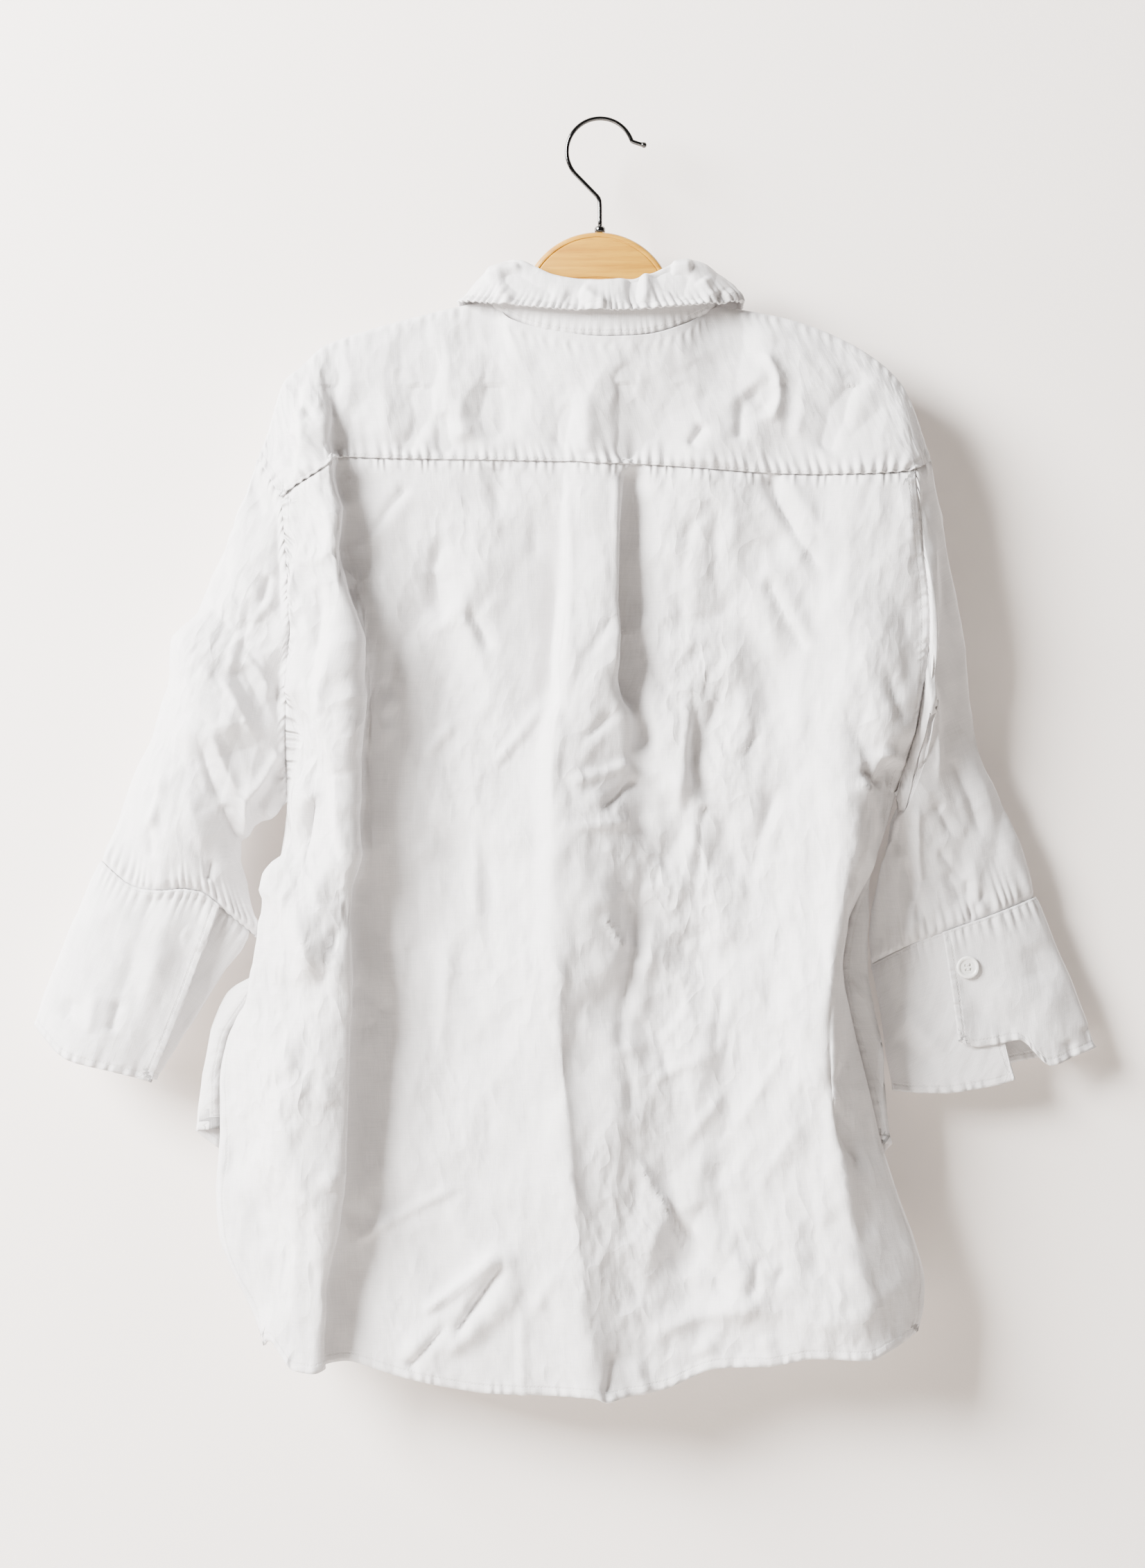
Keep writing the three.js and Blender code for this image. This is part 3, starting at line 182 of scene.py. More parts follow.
# ---- Sleeve rings: outer (x, z), inner (x, z), middle y, back, front ---------
SLEEVE_LEFT = [
    ((-277, -290), (-252, -539), 0, 24, 18),
    ((-295, -336), (-266, -544), 0, 28, 21),
    ((-316, -392), (-278, -552), 1, 31, 23),
    ((-335, -446), (-284, -563), 1, 31, 24),
    ((-354, -495), (-284, -576), 0, 29, 24),
    ((-373, -539), (-279, -595), 0, 26, 22),
    ((-388, -577), (-266, -633), 0, 21, 19),
]
SLEEVE_RIGHT = [
    ((265, -306), (236, -545), 2, 22, 18),
    ((274, -358), (229, -563), 6, 22, 20),
    ((284, -405), (221, -582), 12, 21, 20),
    ((292, -460), (219, -604), 17, 20, 19),
    ((303, -506), (216, -623), 21, 19, 18),
    ((322, -546), (214, -642), 24, 19, 17),
    ((343, -606), (213, -659), 26, 18, 16),
]
SLEEVE_ROUND = 0.62
SLEEVE_BLEND = [1, 0.8, 0.45, 0.15]
# By side: how strong a sleeve's creases and its crumples are.
SLEEVE_RELIEF = {-1: (1.1, 1.1), 1: (0.6, 0.65)}

CUFF_LEFT = {
    "outer": (-441, -705), "inner": (-339, -751), "mid": 0, "back": 22, "front": 20, "lap": 7.2,
    "topU": [0, 0.2, 0.35, 0.5, 0.66, 0.8, 1], "topZ": [0, -7, -3, 7, 13, 8, 0],
    "footU": [0, 0.27, 0.6, 1], "footZ": [0, -13, -7, 0],
    "flap": (0.77, 0.9), "under": (0.5, 0.55),
    "lengthQ": [0, 1], "lengthT": [1, 1],
}
CUFF_RIGHT = {
    "outer": (392, -725), "inner": (229, -759), "mid": 26, "back": 17, "front": 15, "lap": 2.6,
    "topU": [0, 0.25, 0.5, 0.75, 1], "topZ": [0, 1, 3, 4, 0],
    "footU": [0, 0.25, 0.5, 0.75, 1], "footZ": [0, -6, -12, -10, 0],
    "flap": (0.575, 0.65), "under": (0.36, 0.42),
    "lengthQ": [0, 0.03, 0.09, 0.12, 1], "lengthT": [0.68, 0.74, 0.78, 1, 1],
}
CUFF_SEAM = 0.8
FLAP_RISE = 3.6
HIDDEN_BUTTON = (-316.8, -637.8)
CUFF_ROWS = [0, 0.22, 0.45, 0.7, 1]

# ---- Collar, by turn from the middle of the back (0) to the front (1) --------
COLLAR_TURN = [0, 0.08, 0.15, 0.22, 0.3, 0.38, 0.5, 0.62, 0.75, 0.88, 1]
NECK = {
    "x": [0, 23, 42, 58, 73, 84, 90.5, 84, 64, 34, 0],
    "y": [-25, -24, -22.5, -19.5, -15, -9, 0, 9, 16, 21, 23],
    "z": [-171, -170, -167, -162, -155, -149, -143, -152, -174, -202, -219],
}
FOLD_LINE = {
    "x": [0, 19, 36, 50, 62, 70, 77, 73, 57, 31, 0],
    "y": [-24, -23.5, -22, -20, -16, -10, 0, 11, 21, 28, 30],
    "z": [-131, -130, -126.5, -120, -114, -113.5, -118, -131, -153, -179, -193],
}
FALL_EDGE = {
    "x": [0, 30, 52, 74, 93, 104, 111, 110, 96, 74, 46],
    "y": [-36, -35.5, -34, -31, -26, -19, -4, 17, 29, 38, 42],
    "z": [-153, -152, -150, -148, -145.5, -143.5, -142.5, -149, -185, -229, -262],
}
COLLAR_SHIFT = 1
NECK_LEAN = 0.02
FALL_END = 0.965
STAND_END = 1.035
STAND_LAP = 2.2
FALL_LIFT = 2.6
NECK_TURNS = [0.5, 0.62, 0.74, 0.86, 0.953]

# ---- Broad creases shared with the solids: from, to, width, rise -------------
BROAD = [
    ("leftShoulder", (-149, -287), (-185, -335), 11, 5),
    ("leftMiddle", (-89, -349), (-126, -400), 12, 4),
    ("rightShoulder", (128, -292), (172, -352), 12, 5),
    ("rightMiddle", (130, -360), (164, -412), 11, 4),
    ("tailLong", (-70, -880), (-152, -972), 11, 6),
    ("tailShort", (-62, -900), (-108, -950), 10, 4),
    ("hipTrough", (50, -812), (67, -892), 12, -6),
    ("waistRidge", (56, -470), (96, -640), 13, 5),
    ("lowRight", (104, -700), (92, -860), 14, -5),
    ("lobeBand", (-222, -520), (-236, -640), 12, 5),
]

# ---- Creases, placed one by one ----------------------------------------------
# As seen from the camera, on the plane y = 0: name, from x, z, to x, z, bow, width, rise,
# lean (1: steep on its right when it runs up), fade in, fade out. A row may leave out its
# last ones, which are then these.
CREASE_REST = [0, 0.3, 0.3]
BACK_CREASES = [
    ("leftDiagonal", -148.6, -283.8, -179.5, -324.9, 2.2, 4.9, -2.6, 0.3, 0.15, 0.35),
    ("leftFork", -121.6, -322.2, -131.4, -353.5, 0, 5.4, -2.2, 0, 0.5, 0.1),
    ("leftForkLow", -131.4, -350.3, -125.9, -395.1, 0, 4.9, -3, 0, 0.15, 0.5),
    ("leftNick", -104.3, -379.5, -83.8, -415.7, 0, 4.3, -2.4, 0.2, 0.2),
    ("seamDimple", -78.4, -267, -77.3, -316.8, 1.6, 8.1, -2, 0, 0.1, 0.5),
    ("seamDimpleRight", -51.4, -311.4, -50.8, -346.5, 0, 4.3, -1.2, 0, 0.4, 0.4),
    ("leftLongRidge", -121.6, -338.4, -89.2, -451.9, -4.3, 8.6, 1.6, -0.3, 0.4, 0.4),
    ("midDiagonal", -89.2, -508.1, -43.2, -451.9, 3.2, 3.8, 1.6, 0.5, 0.3, 0.2),
    ("midDiagonalLow", -140.5, -500.5, -110.8, -465.4, 0, 4.9, 1.4, 0.4),
    ("flatEdge", -96.8, -549.2, -92.4, -641.1, 1.6, 5.4, 1.5, -0.4, 0.2, 0.4),
    ("flatEdgeLow", -113.5, -624.9, -121.6, -749.2, 2.7, 6.5, 1.3, -0.3, 0.3, 0.4),
    ("lobeRidgeTop", -205.9, -408.6, -218.9, -470.8, -2.2, 5.4, 2.4, 0.3, 0.3, 0.1),
    ("lobeRidge", -218.9, -468.1, -204.9, -511.4, -2.7, 5.4, 2.8, 0.3, 0.1, 0.1),
    ("lobeRidgeLow", -205.9, -508.6, -200.5, -581.6, 1.6, 5.4, 2.6, 0.3, 0.1, 0.4),
    ("lobeFork", -225.9, -588.1, -210.3, -624.9, 1.6, 4.9, 2.4, 0.2, 0.2),
    ("lobeTrough", -219.5, -358.9, -224.3, -457.3, -3.2, 4.9, -3.2),
    ("lobeTroughLow", -225.9, -527.6, -233, -569.7, 0, 4.9, -3.2, 0, 0.2),
    ("lobeNick", -212.4, -549.2, -202.2, -582.7, 0, 3.8, -2.4, 0, 0.2),
    ("lobeEdgeRidge", -229.7, -316.8, -237.8, -392.4, 1.6, 4.3, 1.8, 0.3),
    ("lobeOuterRidge", -247, -574.1, -260, -608.6, 1.6, 5.9, 2.4, 0.2, 0.2, 0.2),
    ("lobeInnerRidge", -231.4, -603.2, -223.2, -673.5, 3.2, 5.9, 2.6, -0.2),
    ("lobeGroove", -202.7, -624.9, -220, -684.3, 1.6, 4.3, -3.4, 0.3, 0.2),
    ("lobeGrooveLow", -220.5, -689.7, -236.2, -765.4, 2.7, 5.4, -2.2, 0, 0.3, 0.4),
    ("lobeHollow", -255.7, -777.3, -287, -831.4, 2.2, 10.8, -3.4, 0, 0.4, 0.4),
    ("lobeLine", -271.9, -840, -263.2, -888.6, 0, 2.7, -1.6, 0, 0.3, 0.4),
    ("lobeKnurl", -213.5, -819.5, -209.2, -835.7, 0, 4.3, 1.8),
    ("lobeKnurlTop", -214.6, -749.2, -210.3, -770.8, 0, 4.3, 1.8),
    ("lobeLowRidge", -229.7, -797.8, -237.8, -922.2, 3.2, 6.5, 1.8, 0.2, 0.4, 0.4),
    ("tailLine", -197.3, -880, -98.9, -828.1, -3.2, 4.3, 1.7, 0.5, 0.2),
    ("tailRidge", -143.2, -934.1, -77.3, -886.5, 1.6, 4.3, 3.4, 0.4, 0.3, 0.1),
    ("tailTrough", -113, -949.2, -73, -890.8, 0, 4.3, -3.6, 0, 0.15, 0.2),
    ("tailCrease", -150.8, -975.1, -115.1, -933, 1.6, 3.8, -2.6, 0.2, 0.1),
    ("tailRise", -121.6, -965.4, -89.2, -927.6, 0, 7.6, 2.2),
    ("pleatFoot", -60.5, -922.2, -60, -996.8, 0, 3.2, 1.4, 0.5, 0.3, 0),
    ("pleatFacet", -51.4, -933, -31.9, -895.1, 0, 5.4, 1.6, 0.4),
    ("pleatNick", -11.9, -484.3, 11.4, -459.5, 1.1, 4.3, -2.4, 0.3, 0.2, 0.2),
    ("pleatCrossLine", -9.2, -421.1, 12.4, -379.5, 1.6, 3.8, -1.4, 0.4, 0.2),
    ("pleatLip", -27.6, -515.7, 25.4, -500.5, 2.2, 3.8, 2.4, 0.3, 0.2, 0.1),
    ("pleatUnder", -1.6, -539.5, 33, -513.5, 1.6, 4.9, -3.4, 0, 0.3, 0.1),
    ("pleatBar", -23.2, -551.4, 29.7, -545.4, 1.1, 2.7, 1.9, 0, 0.2, 0.2),
    ("pleatFan", -16.2, -505.9, 2.7, -473.5, 0, 5.4, 1.6, 0.2),
    ("pleatFanLow", -14.6, -527.6, 1.6, -517.8, 0, 4.3, -1.4),
    ("pleatGroove", 26.5, -270.3, 23.8, -462.7, 1.6, 7.6, -5.2, 0, 0.05, 0.2),
    ("pleatGrooveLow", 21.6, -424.9, 39.5, -496.2, -1.1, 6.5, -4.5, 0, 0.35, 0.2),
    ("pleatBrink", 13, -275.7, 11.4, -435.7, -1.1, 4.9, 2.6, 0.5, 0.08, 0.1),
    ("pleatWedge", -31.9, -338.4, -42.7, -468.1, 0, 5.9, -3.4, -0.3, 0.3, 0.2),
    ("pleatRim", -23.2, -278.9, -23.2, -446.5, 0, 3.8, 1.8, -0.4, 0.2, 0.2),
    ("bankLow", -121.6, -316.8, -113.5, -673.5, 3.2, 27, -2, 0, 0.2),
    ("bankFill", -164.9, -316.8, -164.9, -716.8, 2.2, 18.4, 2.3, 0, 0.2),
    ("besidePleat", 76.2, -303.2, 63.2, -365.4, 2.2, 4.9, -1.6, 0, 0.3, 0.1),
    ("besidePleatLow", 63.8, -362.7, 55.7, -443.8, -3.2, 4.9, -1.1, 0, 0.1),
    ("hipRidge", 68.6, -446.5, 57.8, -554.6, -3.2, 4.9, 2.6, -0.3, 0.2),
    ("hipGroove", 74.6, -454.6, 85.9, -533, 2.7, 3.8, -2, 0.2, 0.2, 0.1),
    ("hipGrooveLow", 85.9, -531.9, 75.1, -595.1, 2.7, 4.3, -2.4, 0.2, 0.1),
    ("shoulderSlash", 130.3, -275.7, 174.6, -354.6, 2.7, 5.4, -4.6, 0.2, 0.08, 0.2),
    ("shoulderSlashLow", 130.3, -355.7, 162.7, -416.8, 2.7, 4.9, -4.2, 0.2, 0.15, 0.25),
    ("shoulderRise", 142.2, -271.4, 189.2, -338.4, 2.7, 7.6, 2, 0, 0.2),
    ("shoulderRiseLow", 118.9, -365.4, 148.6, -424.9, 1.6, 7, 1.6),
    ("elbowNick", 124.9, -476.8, 109.7, -502.7, 1.6, 3.8, -2.2, 0.2, 0.2),
    ("elbowTrough", 138.4, -520, 119.5, -591.4, 2.7, 5.4, -2.4, 0.2, 0.2),
    ("chestTrough", 93.5, -295.1, 88.1, -370.8, 1.6, 5.4, -1.8, 0, 0.3, 0.4),
    ("chestRidge", 105.4, -278.9, 106.5, -392.4, 1.6, 7.6, 1.2, 0, 0.3, 0.4),
    ("waistSpur", 0.5, -618.4, 20, -648.6, 0, 2.7, 2.4, 0, 0.2, 0.2),
    ("spine", 34.1, -603.2, 30.8, -646.5, 0, 4.9, -2, 0, 0.3, 0.1),
    ("spineMiddle", 30.8, -644.3, 16.2, -727.6, 2.7, 4.9, -2.2, 0, 0.1, 0.1),
    ("spineLow", 15.7, -725.4, 23.2, -787, -2.2, 4.9, -1.8, 0, 0.1, 0.4),
    ("spineSlip", 42.7, -624.9, 32.4, -705.9, 1.6, 4.9, 2.2),
    ("tailBlade", 28.6, -807.6, 48.1, -844.3, 1.6, 3.8, 2, -0.2, 0.3, 0),
    ("tailBladeLow", 47.6, -843.2, 67, -887.6, -1.1, 3.2, 2.4, -0.3, 0, 0.15),
    ("tailValley", 50.3, -842.2, 110.8, -925.4, 4.3, 6.5, -3.4, 0, 0.2),
    ("rightNick", 98.9, -672.4, 89.2, -728.6, 1.6, 4.3, -2.2),
    ("rightCross", 84.9, -729.7, 37.3, -752.4, 1.6, 4.3, 1.6, 0.2),
    ("rightCrossLow", 105.4, -749.2, 64.9, -803.2, 2.2, 4.9, 1.6, 0.2),
    ("rightCrossUp", 78.4, -684.3, 48.6, -722.2, 1.6, 4.3, 1.5, 0.2),
    ("rightFan", 154.1, -716.8, 105.4, -792.4, 2.7, 5.9, 1.6, 0.3),
    ("rightFanLow", 170.3, -770.8, 116.2, -846.5, 2.7, 6.5, 1.4, 0.3),
    ("tailNick", 123.8, -883.2, 119.5, -924.3, 0, 4.3, -2.2),
    ("tailDimple", 146.5, -893, 136.8, -909.2, 0, 3.8, -1.8),
    ("hemRoll", 35.1, -951.4, 143.2, -927.6, -8.6, 8.1, 3.4, 0.2),
    ("hemShade", 13.5, -960, 7, -995.7, 0, 5.4, -2.8, 0, 0.3, 0),
    ("hemPeak", 73, -965.4, 89.2, -952.4, 0, 4.9, 2),
    ("hemFlute", 27.6, -965.4, 35.1, -993.5, 0, 4.9, 2.2, 0, 0.3, 0),
    ("hemFluteRight", 130.3, -947, 132.4, -969.7, 0, 5.4, 1.6, 0, 0.3, 0),
    ("lowRidge", 170.3, -819.5, 194.6, -933, 3.2, 8.6, 1.6, 0.2),
    ("rightEdgeShade", 182.2, -673.5, 182.7, -765.4, 2.2, 4.3, -2.4, 0, 0.3, 0.2),
    ("rightEdgeShadeLow", 182.7, -762.7, 204.9, -819.5, 1.6, 4.3, -2.6, 0, 0.2),
    ("knotMouth", 204.3, -502.7, 223.2, -520, 0, 4.3, -3.4, 0.2, 0.3, 0.2),
    ("knotLip", 214.6, -493, 247, -516.8, -5.4, 4.9, 3.4, 0.2),
    ("knotPucker", 201.6, -515.7, 214.6, -524.3, 0, 3.2, 1.6),
    ("armSlope", 225.4, -424.9, 235.1, -473.5, 1.6, 4.3, -2),
]
COLLAR_CREASES = [
    ("lobeInside", -77.3, -117.8, -35.1, -137.3, 2.2, 4.9, -2.4, 0, 0.2, 0.2),
    ("lobeBrow", -89.2, -123.2, -61.1, -113.5, -1.6, 3.8, 1.8, 0, 0.2, 0.2),
    ("lobeFall", -66.5, -143.8, -82.7, -131.9, 0, 4.9, 1.4),
    ("middleLump", -14.6, -130.8, 8.1, -145.9, 1.6, 5.4, 2.2, 0, 0.2),
    ("middleDip", -10.3, -143.8, -28.6, -135.1, 0, 4.9, -1.4),
    ("centreDent", 28.6, -118.9, 25.4, -147, 1.6, 4.3, -2.4, 0, 0.15),
    ("centreRise", 36.2, -117.8, 35.1, -143.8, 0, 4.9, 1.6, 0, 0.2),
    ("knobUnder", 49.7, -117.8, 54.6, -133, 0, 3.8, -2, 0, 0.1, 0.4),
    ("knob", 55.7, -113.5, 73, -114.6, 0, 3.8, 2, 0, 0.2),
    ("rightTrough", 67.6, -117.8, 60, -139.5, 2.2, 4.9, -2.4, 0, 0.2),
    ("rightLump", 79.5, -123.2, 89.2, -141.6, 1.1, 4.9, 1.8, 0, 0.2),
    ("rightDip", 92.4, -133, 97.8, -143.8, 0, 3.2, -1.4, 0, 0.2, 0.2),
]
YOKE_CREASES = [
    ("tipSlope", -207, -178.9, -210.3, -263.8, -1.6, 5.4, -1, 0, 0.3, 0),
    ("leftDip", -134.1, -176.2, -132.4, -200.5, 0, 5.4, -2.2, 0, 0.3, 0.2),
    ("leftDipLow", -136.8, -202.2, -152.4, -260, -4.3, 6.5, -2.8, 0, 0.2, 0.1),
    ("leftSpur", -121.6, -225.9, -121.6, -260, 0, 5.4, -2.6, 0, 0.3, 0),
    ("leftKnoll", -164.9, -208.6, -167, -251.9, 0, 11.9, 1.6, 0, 0.4),
    ("midDip", -83.2, -178.9, -80.5, -251.9, 0, 6.5, -2.4, 0, 0.3, 0.2),
    ("midKnoll", -108.6, -214.1, -106.5, -251.9, 0, 8.1, 1.4, 0, 0.4, 0.2),
    ("pleatLead", -21.1, -217.3, -31.9, -256.2, 1.6, 4.9, -2, 0, 0.3, 0.2),
    ("pleatBrow", -10.3, -208.6, -9.2, -260, 0, 7, 1.4, 0, 0.4, 0.1),
    ("pleatSide", 17.3, -189.7, 24.3, -230.3, 1.6, 5.9, -2.6, 0, 0.3, 0.1),
    ("pleatSideLow", 24.3, -228.1, 21.6, -263.8, 0, 5.9, -3.2, 0, 0.1, 0),
    ("smallScar", 81.6, -236.8, 69.7, -255.1, 0, 4.3, -2.2, 0.2, 0.2, 0.2),
    ("rightDent", 115.1, -208.6, 131.4, -230.3, 0, 11.9, -3.2),
    ("rightBrow", 125.9, -181.6, 140, -208.6, -2.2, 4.3, 1.8, 0.3, 0.3, 0.1),
    ("rightBrowLow", 140, -205.9, 131.4, -236.8, -2.7, 4.3, 2, 0.3, 0.1),
    ("rightScar", 110.8, -216.8, 108.6, -251.9, 0, 4.9, -2, 0, 0.3, 0.2),
    ("rightFlat", 204.9, -192.4, 174.6, -260, 2.7, 7.6, -2.6, 0, 0.2, 0.1),
    ("rightPlain", 159.5, -197.8, 154.1, -251.9, 0, 8.6, 1.4, 0, 0.4),
    ("tipLeft", -242.7, -202.2, -221.1, -236.8, 1.6, 4.9, -2.4, 0, 0.2),
    ("tipLeftLow", -238.4, -242.2, -240.5, -271.4, 0, 4.3, -2.4, 0, 0.3, 0.1),
    ("tipRidge", -229.7, -208.6, -229.7, -251.9, 2.2, 5.4, 1.6),
]
SLEEVE_LEFT_CREASES = [
    ("shoulder", -271.9, -282.2, -265.4, -308.1, 0, 4.9, -2),
    ("upper", -257.8, -352.4, -264.9, -381.6, 0, 4.3, -2.6, 0, 0.2),
    ("upperRidge", -249.2, -365.4, -278.4, -408.6, 2.2, 4.9, 2, 0.2),
    ("upperRidgeLow", -277.3, -395.1, -289.2, -433, 1.6, 5.4, 1.8, 0.2),
    ("crag", -287, -423.8, -261.1, -474.6, -2.7, 6.5, -4, 0.2, 0.2),
    ("cragRidge", -295.7, -433, -271.9, -482.2, -2.2, 4.9, 2.8, -0.2, 0.2),
    ("cragRidgeUp", -277.3, -416.8, -252.4, -451.9, -1.6, 4.3, 2.2, -0.2, 0.2),
    ("knee", -313, -478.9, -293.5, -534.1, 2.2, 4.9, -2.6, 0.3, 0.3, 0.2),
    ("kneeLow", -294.6, -531.9, -283.8, -560, 1.1, 4.3, -2.6, 0.3, 0.2, 0.2),
    ("kneeRidge", -303.2, -473.5, -281.1, -527.6, 2.2, 4.9, 2.4),
    ("underarm", -250.3, -491.9, -280.5, -526.5, -2.7, 4.9, 3.4, 0.3, 0.1, 0.1),
    ("underarmLow", -280.5, -525.4, -285.4, -561.1, -1.6, 4.3, 3, 0.3, 0.1),
    ("underarmGroove", -244.9, -502.7, -269.7, -536.2, -1.6, 4.3, -3, 0, 0.2, 0.2),
    ("elbow", -340, -508.1, -350.8, -551.9, -2.2, 4.3, 2.4, 0.3, 0.3, 0.2),
    ("elbowLow", -350.8, -549.2, -348.6, -576.2, 0, 3.8, -1.8, 0, 0.2, 0.2),
    ("elbowDip", -343.2, -516.8, -340, -565.4, 0, 5.4, -1.6),
    ("foreRidge", -321.6, -516.8, -305.4, -576.2, 2.2, 6.5, 1.6, -0.2),
    ("cuffTick", -305.4, -592.4, -302.2, -576.2, 0, 2.7, -2, 0, 0.1),
]
SLEEVE_RIGHT_CREASES = [
    ("back", 251.4, -284.3, 254.6, -349.2, 1.6, 3.8, -2.4),
    ("backRidge", 260, -316.8, 262.2, -392.4, 1.6, 3.2, 2.2),
    ("long", 247, -381.6, 263.2, -451.9, -2.2, 4.3, -3, 0, 0.2),
    ("longRidge", 255.7, -424.9, 262.2, -522.2, -2.2, 3.8, 3),
    ("outerGroove", 271.9, -495.1, 298.9, -563.2, -2.2, 4.9, -3, 0, 0.2),
    ("outerRidge", 284.9, -489.7, 308.6, -554.6, -2.2, 5.4, 1.8),
    ("innerGroove", 260.5, -530.8, 276.2, -561.1, 0, 4.3, -2.6, 0, 0.2),
    ("knotGroove", 230.8, -528.6, 235.1, -576.2, 1.6, 4.3, -3.6, 0, 0.1),
    ("knotGrooveLow", 235.1, -574.1, 249.2, -624.9, -1.6, 5.4, -3.2, 0, 0.2, 0.2),
    ("tongue", 247.6, -533, 250.8, -595.1, 1.6, 3.8, 3.6, 0, 0.2, 0.1),
    ("tongueLow", 250.3, -592.4, 242.2, -642.2, 1.6, 4.3, 3.4, 0, 0.1, 0.2),
    ("inner", 222.7, -561.1, 222.7, -646.5, 0, 4.3, -2.6, 0, 0.2, 0.2),
    ("innerRidge", 214.6, -570.8, 212.4, -646.5, 0, 4.3, 2, 0, 0.2, 0.2),
    ("midRidge", 236.2, -560, 233, -624.9, 1.6, 3.8, 2.2),
    ("fork", 263.2, -566.5, 287, -593.5, 1.6, 4.3, -2.6, 0, 0.2, 0.2),
    ("forkLow", 287, -591.4, 289.7, -629.2, 0, 3.2, -3, 0.3, 0.1, 0.1),
    ("forkRidge", 291.4, -576.2, 295.7, -622.2, 0, 4.9, 2, -0.2, 0.2, 0.2),
    ("crater", 268.6, -582.7, 287, -614.1, 0, 7.6, -4.2),
    ("scar", 301.6, -600, 289.2, -622.7, 0, 3.2, -2.2, 0, 0.2, 0.2),
    ("hipRidge", 310.8, -554.6, 332.4, -603.2, -1.6, 6.5, 1.8),
]
CUFF_LEFT_CREASES = [
    ("fold", -346.5, -595.7, -381.1, -701.6, -2.2, 10.8, -2.2, 0.2, 0.1, 0.2),
    ("crown", -332.4, -603.2, -361.6, -705.9, -1.6, 9.7, 1.6, 0, 0.2),
    ("dentLeft", -415.7, -700.5, -409.2, -684.3, 0, 6.5, -2.4, 0, 0.1),
    ("dentMiddle", -381.1, -711.4, -374.6, -684.3, 0, 5.4, -3, 0, 0.1),
    ("dentRidge", -397.3, -711.4, -391.9, -678.9, 0, 5.4, 1.8, 0, 0.1),
    ("top", -402.7, -624.9, -364.9, -614.1, 0, 9.7, 1.2),
    ("flank", -278.4, -647.6, -325.9, -727.6, 2.2, 4.9, 1.6, 0.3, 0.2, 0.2),
]
CUFF_RIGHT_CREASES = [
    ("belly", 305.4, -673.5, 364.9, -689.7, 3.2, 14.1, 1.8),
    ("dish", 287, -689.7, 332.4, -714.1, 2.2, 10.8, -1.8),
    ("dishRight", 337.8, -641.1, 343.2, -673.5, 0, 10.8, -1.6),
    ("edgeDent", 329.7, -722.2, 329.2, -745.9, 0, 4.9, -3.4, 0, 0.2, 0),
    ("edgeDentLip", 322.7, -729.7, 321.1, -747, 0, 3.8, 1.8, 0, 0.2, 0),
    ("edgeFlute", 364.9, -716.8, 369.2, -733, 0, 4.9, -1.8, 0, 0.2, 0),
    ("edgeFluteRight", 378.9, -705.9, 383.2, -723.2, 0, 4.9, -1.6, 0, 0.2, 0),
    ("under", 229.7, -711.4, 267.6, -738.4, 2.2, 8.6, -1.8),
    ("underRidge", 235.1, -689.7, 274.1, -733, 2.2, 7.6, 1.6),
]
FRONT_CREASES = [
    ("leftShoulder", -150, -250, -196, -352, 3, 8, -2.6, 0.2, 0.2, 0.4),
    ("leftChest", -96, -330, -150, -430, 4, 7, 2.4, 0.3),
    ("leftWaist", -60, -470, -130, -560, 4, 8, -2.4, 0.2),
    ("leftHip", -190, -600, -120, -700, 5, 8, 2.2, 0.2),
    ("leftLow", -88, -720, -160, -830, 4, 7, 2.6, 0.3),
    ("leftTail", -60, -790, -100, -880, 3, 6, -2.4),
    ("leftSide", -232, -480, -218, -640, 5, 9, -2.8),
    ("rightShoulder", 140, -246, 188, -340, 3, 8, -2.6, 0.2, 0.2, 0.4),
    ("rightChest", 84, -300, 140, -410, 4, 7, 2.6, 0.3),
    ("rightRib", 60, -430, 150, -500, 5, 7, -2.2),
    ("rightWaist", 120, -520, 70, -640, 4, 8, 2.4, 0.2),
    ("rightHip", 160, -600, 110, -720, 4, 8, -2.2, 0.2),
    ("rightLow", 66, -700, 130, -810, 4, 7, 2.4, 0.3),
    ("rightTail", 150, -760, 110, -860, 3, 7, -2.4),
]
SLEEVE_LEFT_FRONT = [
    ("upper", -262, -320, -300, -420, 3, 7, -2.4, 0.2),
    ("middle", -290, -400, -262, -500, 4, 7, 2.4, 0.2),
    ("elbow", -340, -470, -290, -560, 4, 7, -2.6),
    ("lower", -370, -540, -312, -600, 3, 6, 2.2, 0.2),
]
SLEEVE_RIGHT_FRONT = [
    ("upper", 262, -330, 240, -440, 3, 7, -2.4, 0.2),
    ("middle", 278, -420, 246, -540, 4, 7, 2.6, 0.2),
    ("elbow", 300, -500, 262, -610, 4, 6, -2.4),
    ("lower", 318, -570, 280, -640, 3, 6, 2.2, 0.2),
]

# What the linen reads far from any seam: distance, signed distance and run for stitches,
# distance, count and rise for gathers.
NO_STITCH = (50, 50, 0)
NO_GATHER = (9, 0, 0)

# Where the cloth is most crumpled: name, x, z, half width, half height, weight.
CRUMPLED = [
    ("sleeveLeft", -290, -430, 50, 130, 1.5),
    ("lobe", -218, -440, 34, 150, 2.0),
    ("lobeLow", -245, -720, 40, 130, 1.4),
    ("besidePleat", 78, -430, 38, 130, 1.1),
    ("spine", 48, -640, 60, 150, 1.1),
    ("hemRight", 90, -900, 110, 60, 0.8),
    ("yokeEnd", -240, -230, 26, 50, 1.0),
    ("sleeveRight", 250, -520, 46, 90, 0.9),
    ("leftPanel", -110, -470, 60, 160, 0.5),
    ("rightPanel", 150, -560, 50, 200, 0.5),
]


# ---- Small mathematics -------------------------------------------------------
def smooth(a, b, t):
    """A soft step of t from 0 at a to 1 at b, which may be the smaller."""
    k = np.clip((np.asarray(t, float) - a) / (b - a), 0, 1)
    return k * k * (3 - 2 * k)


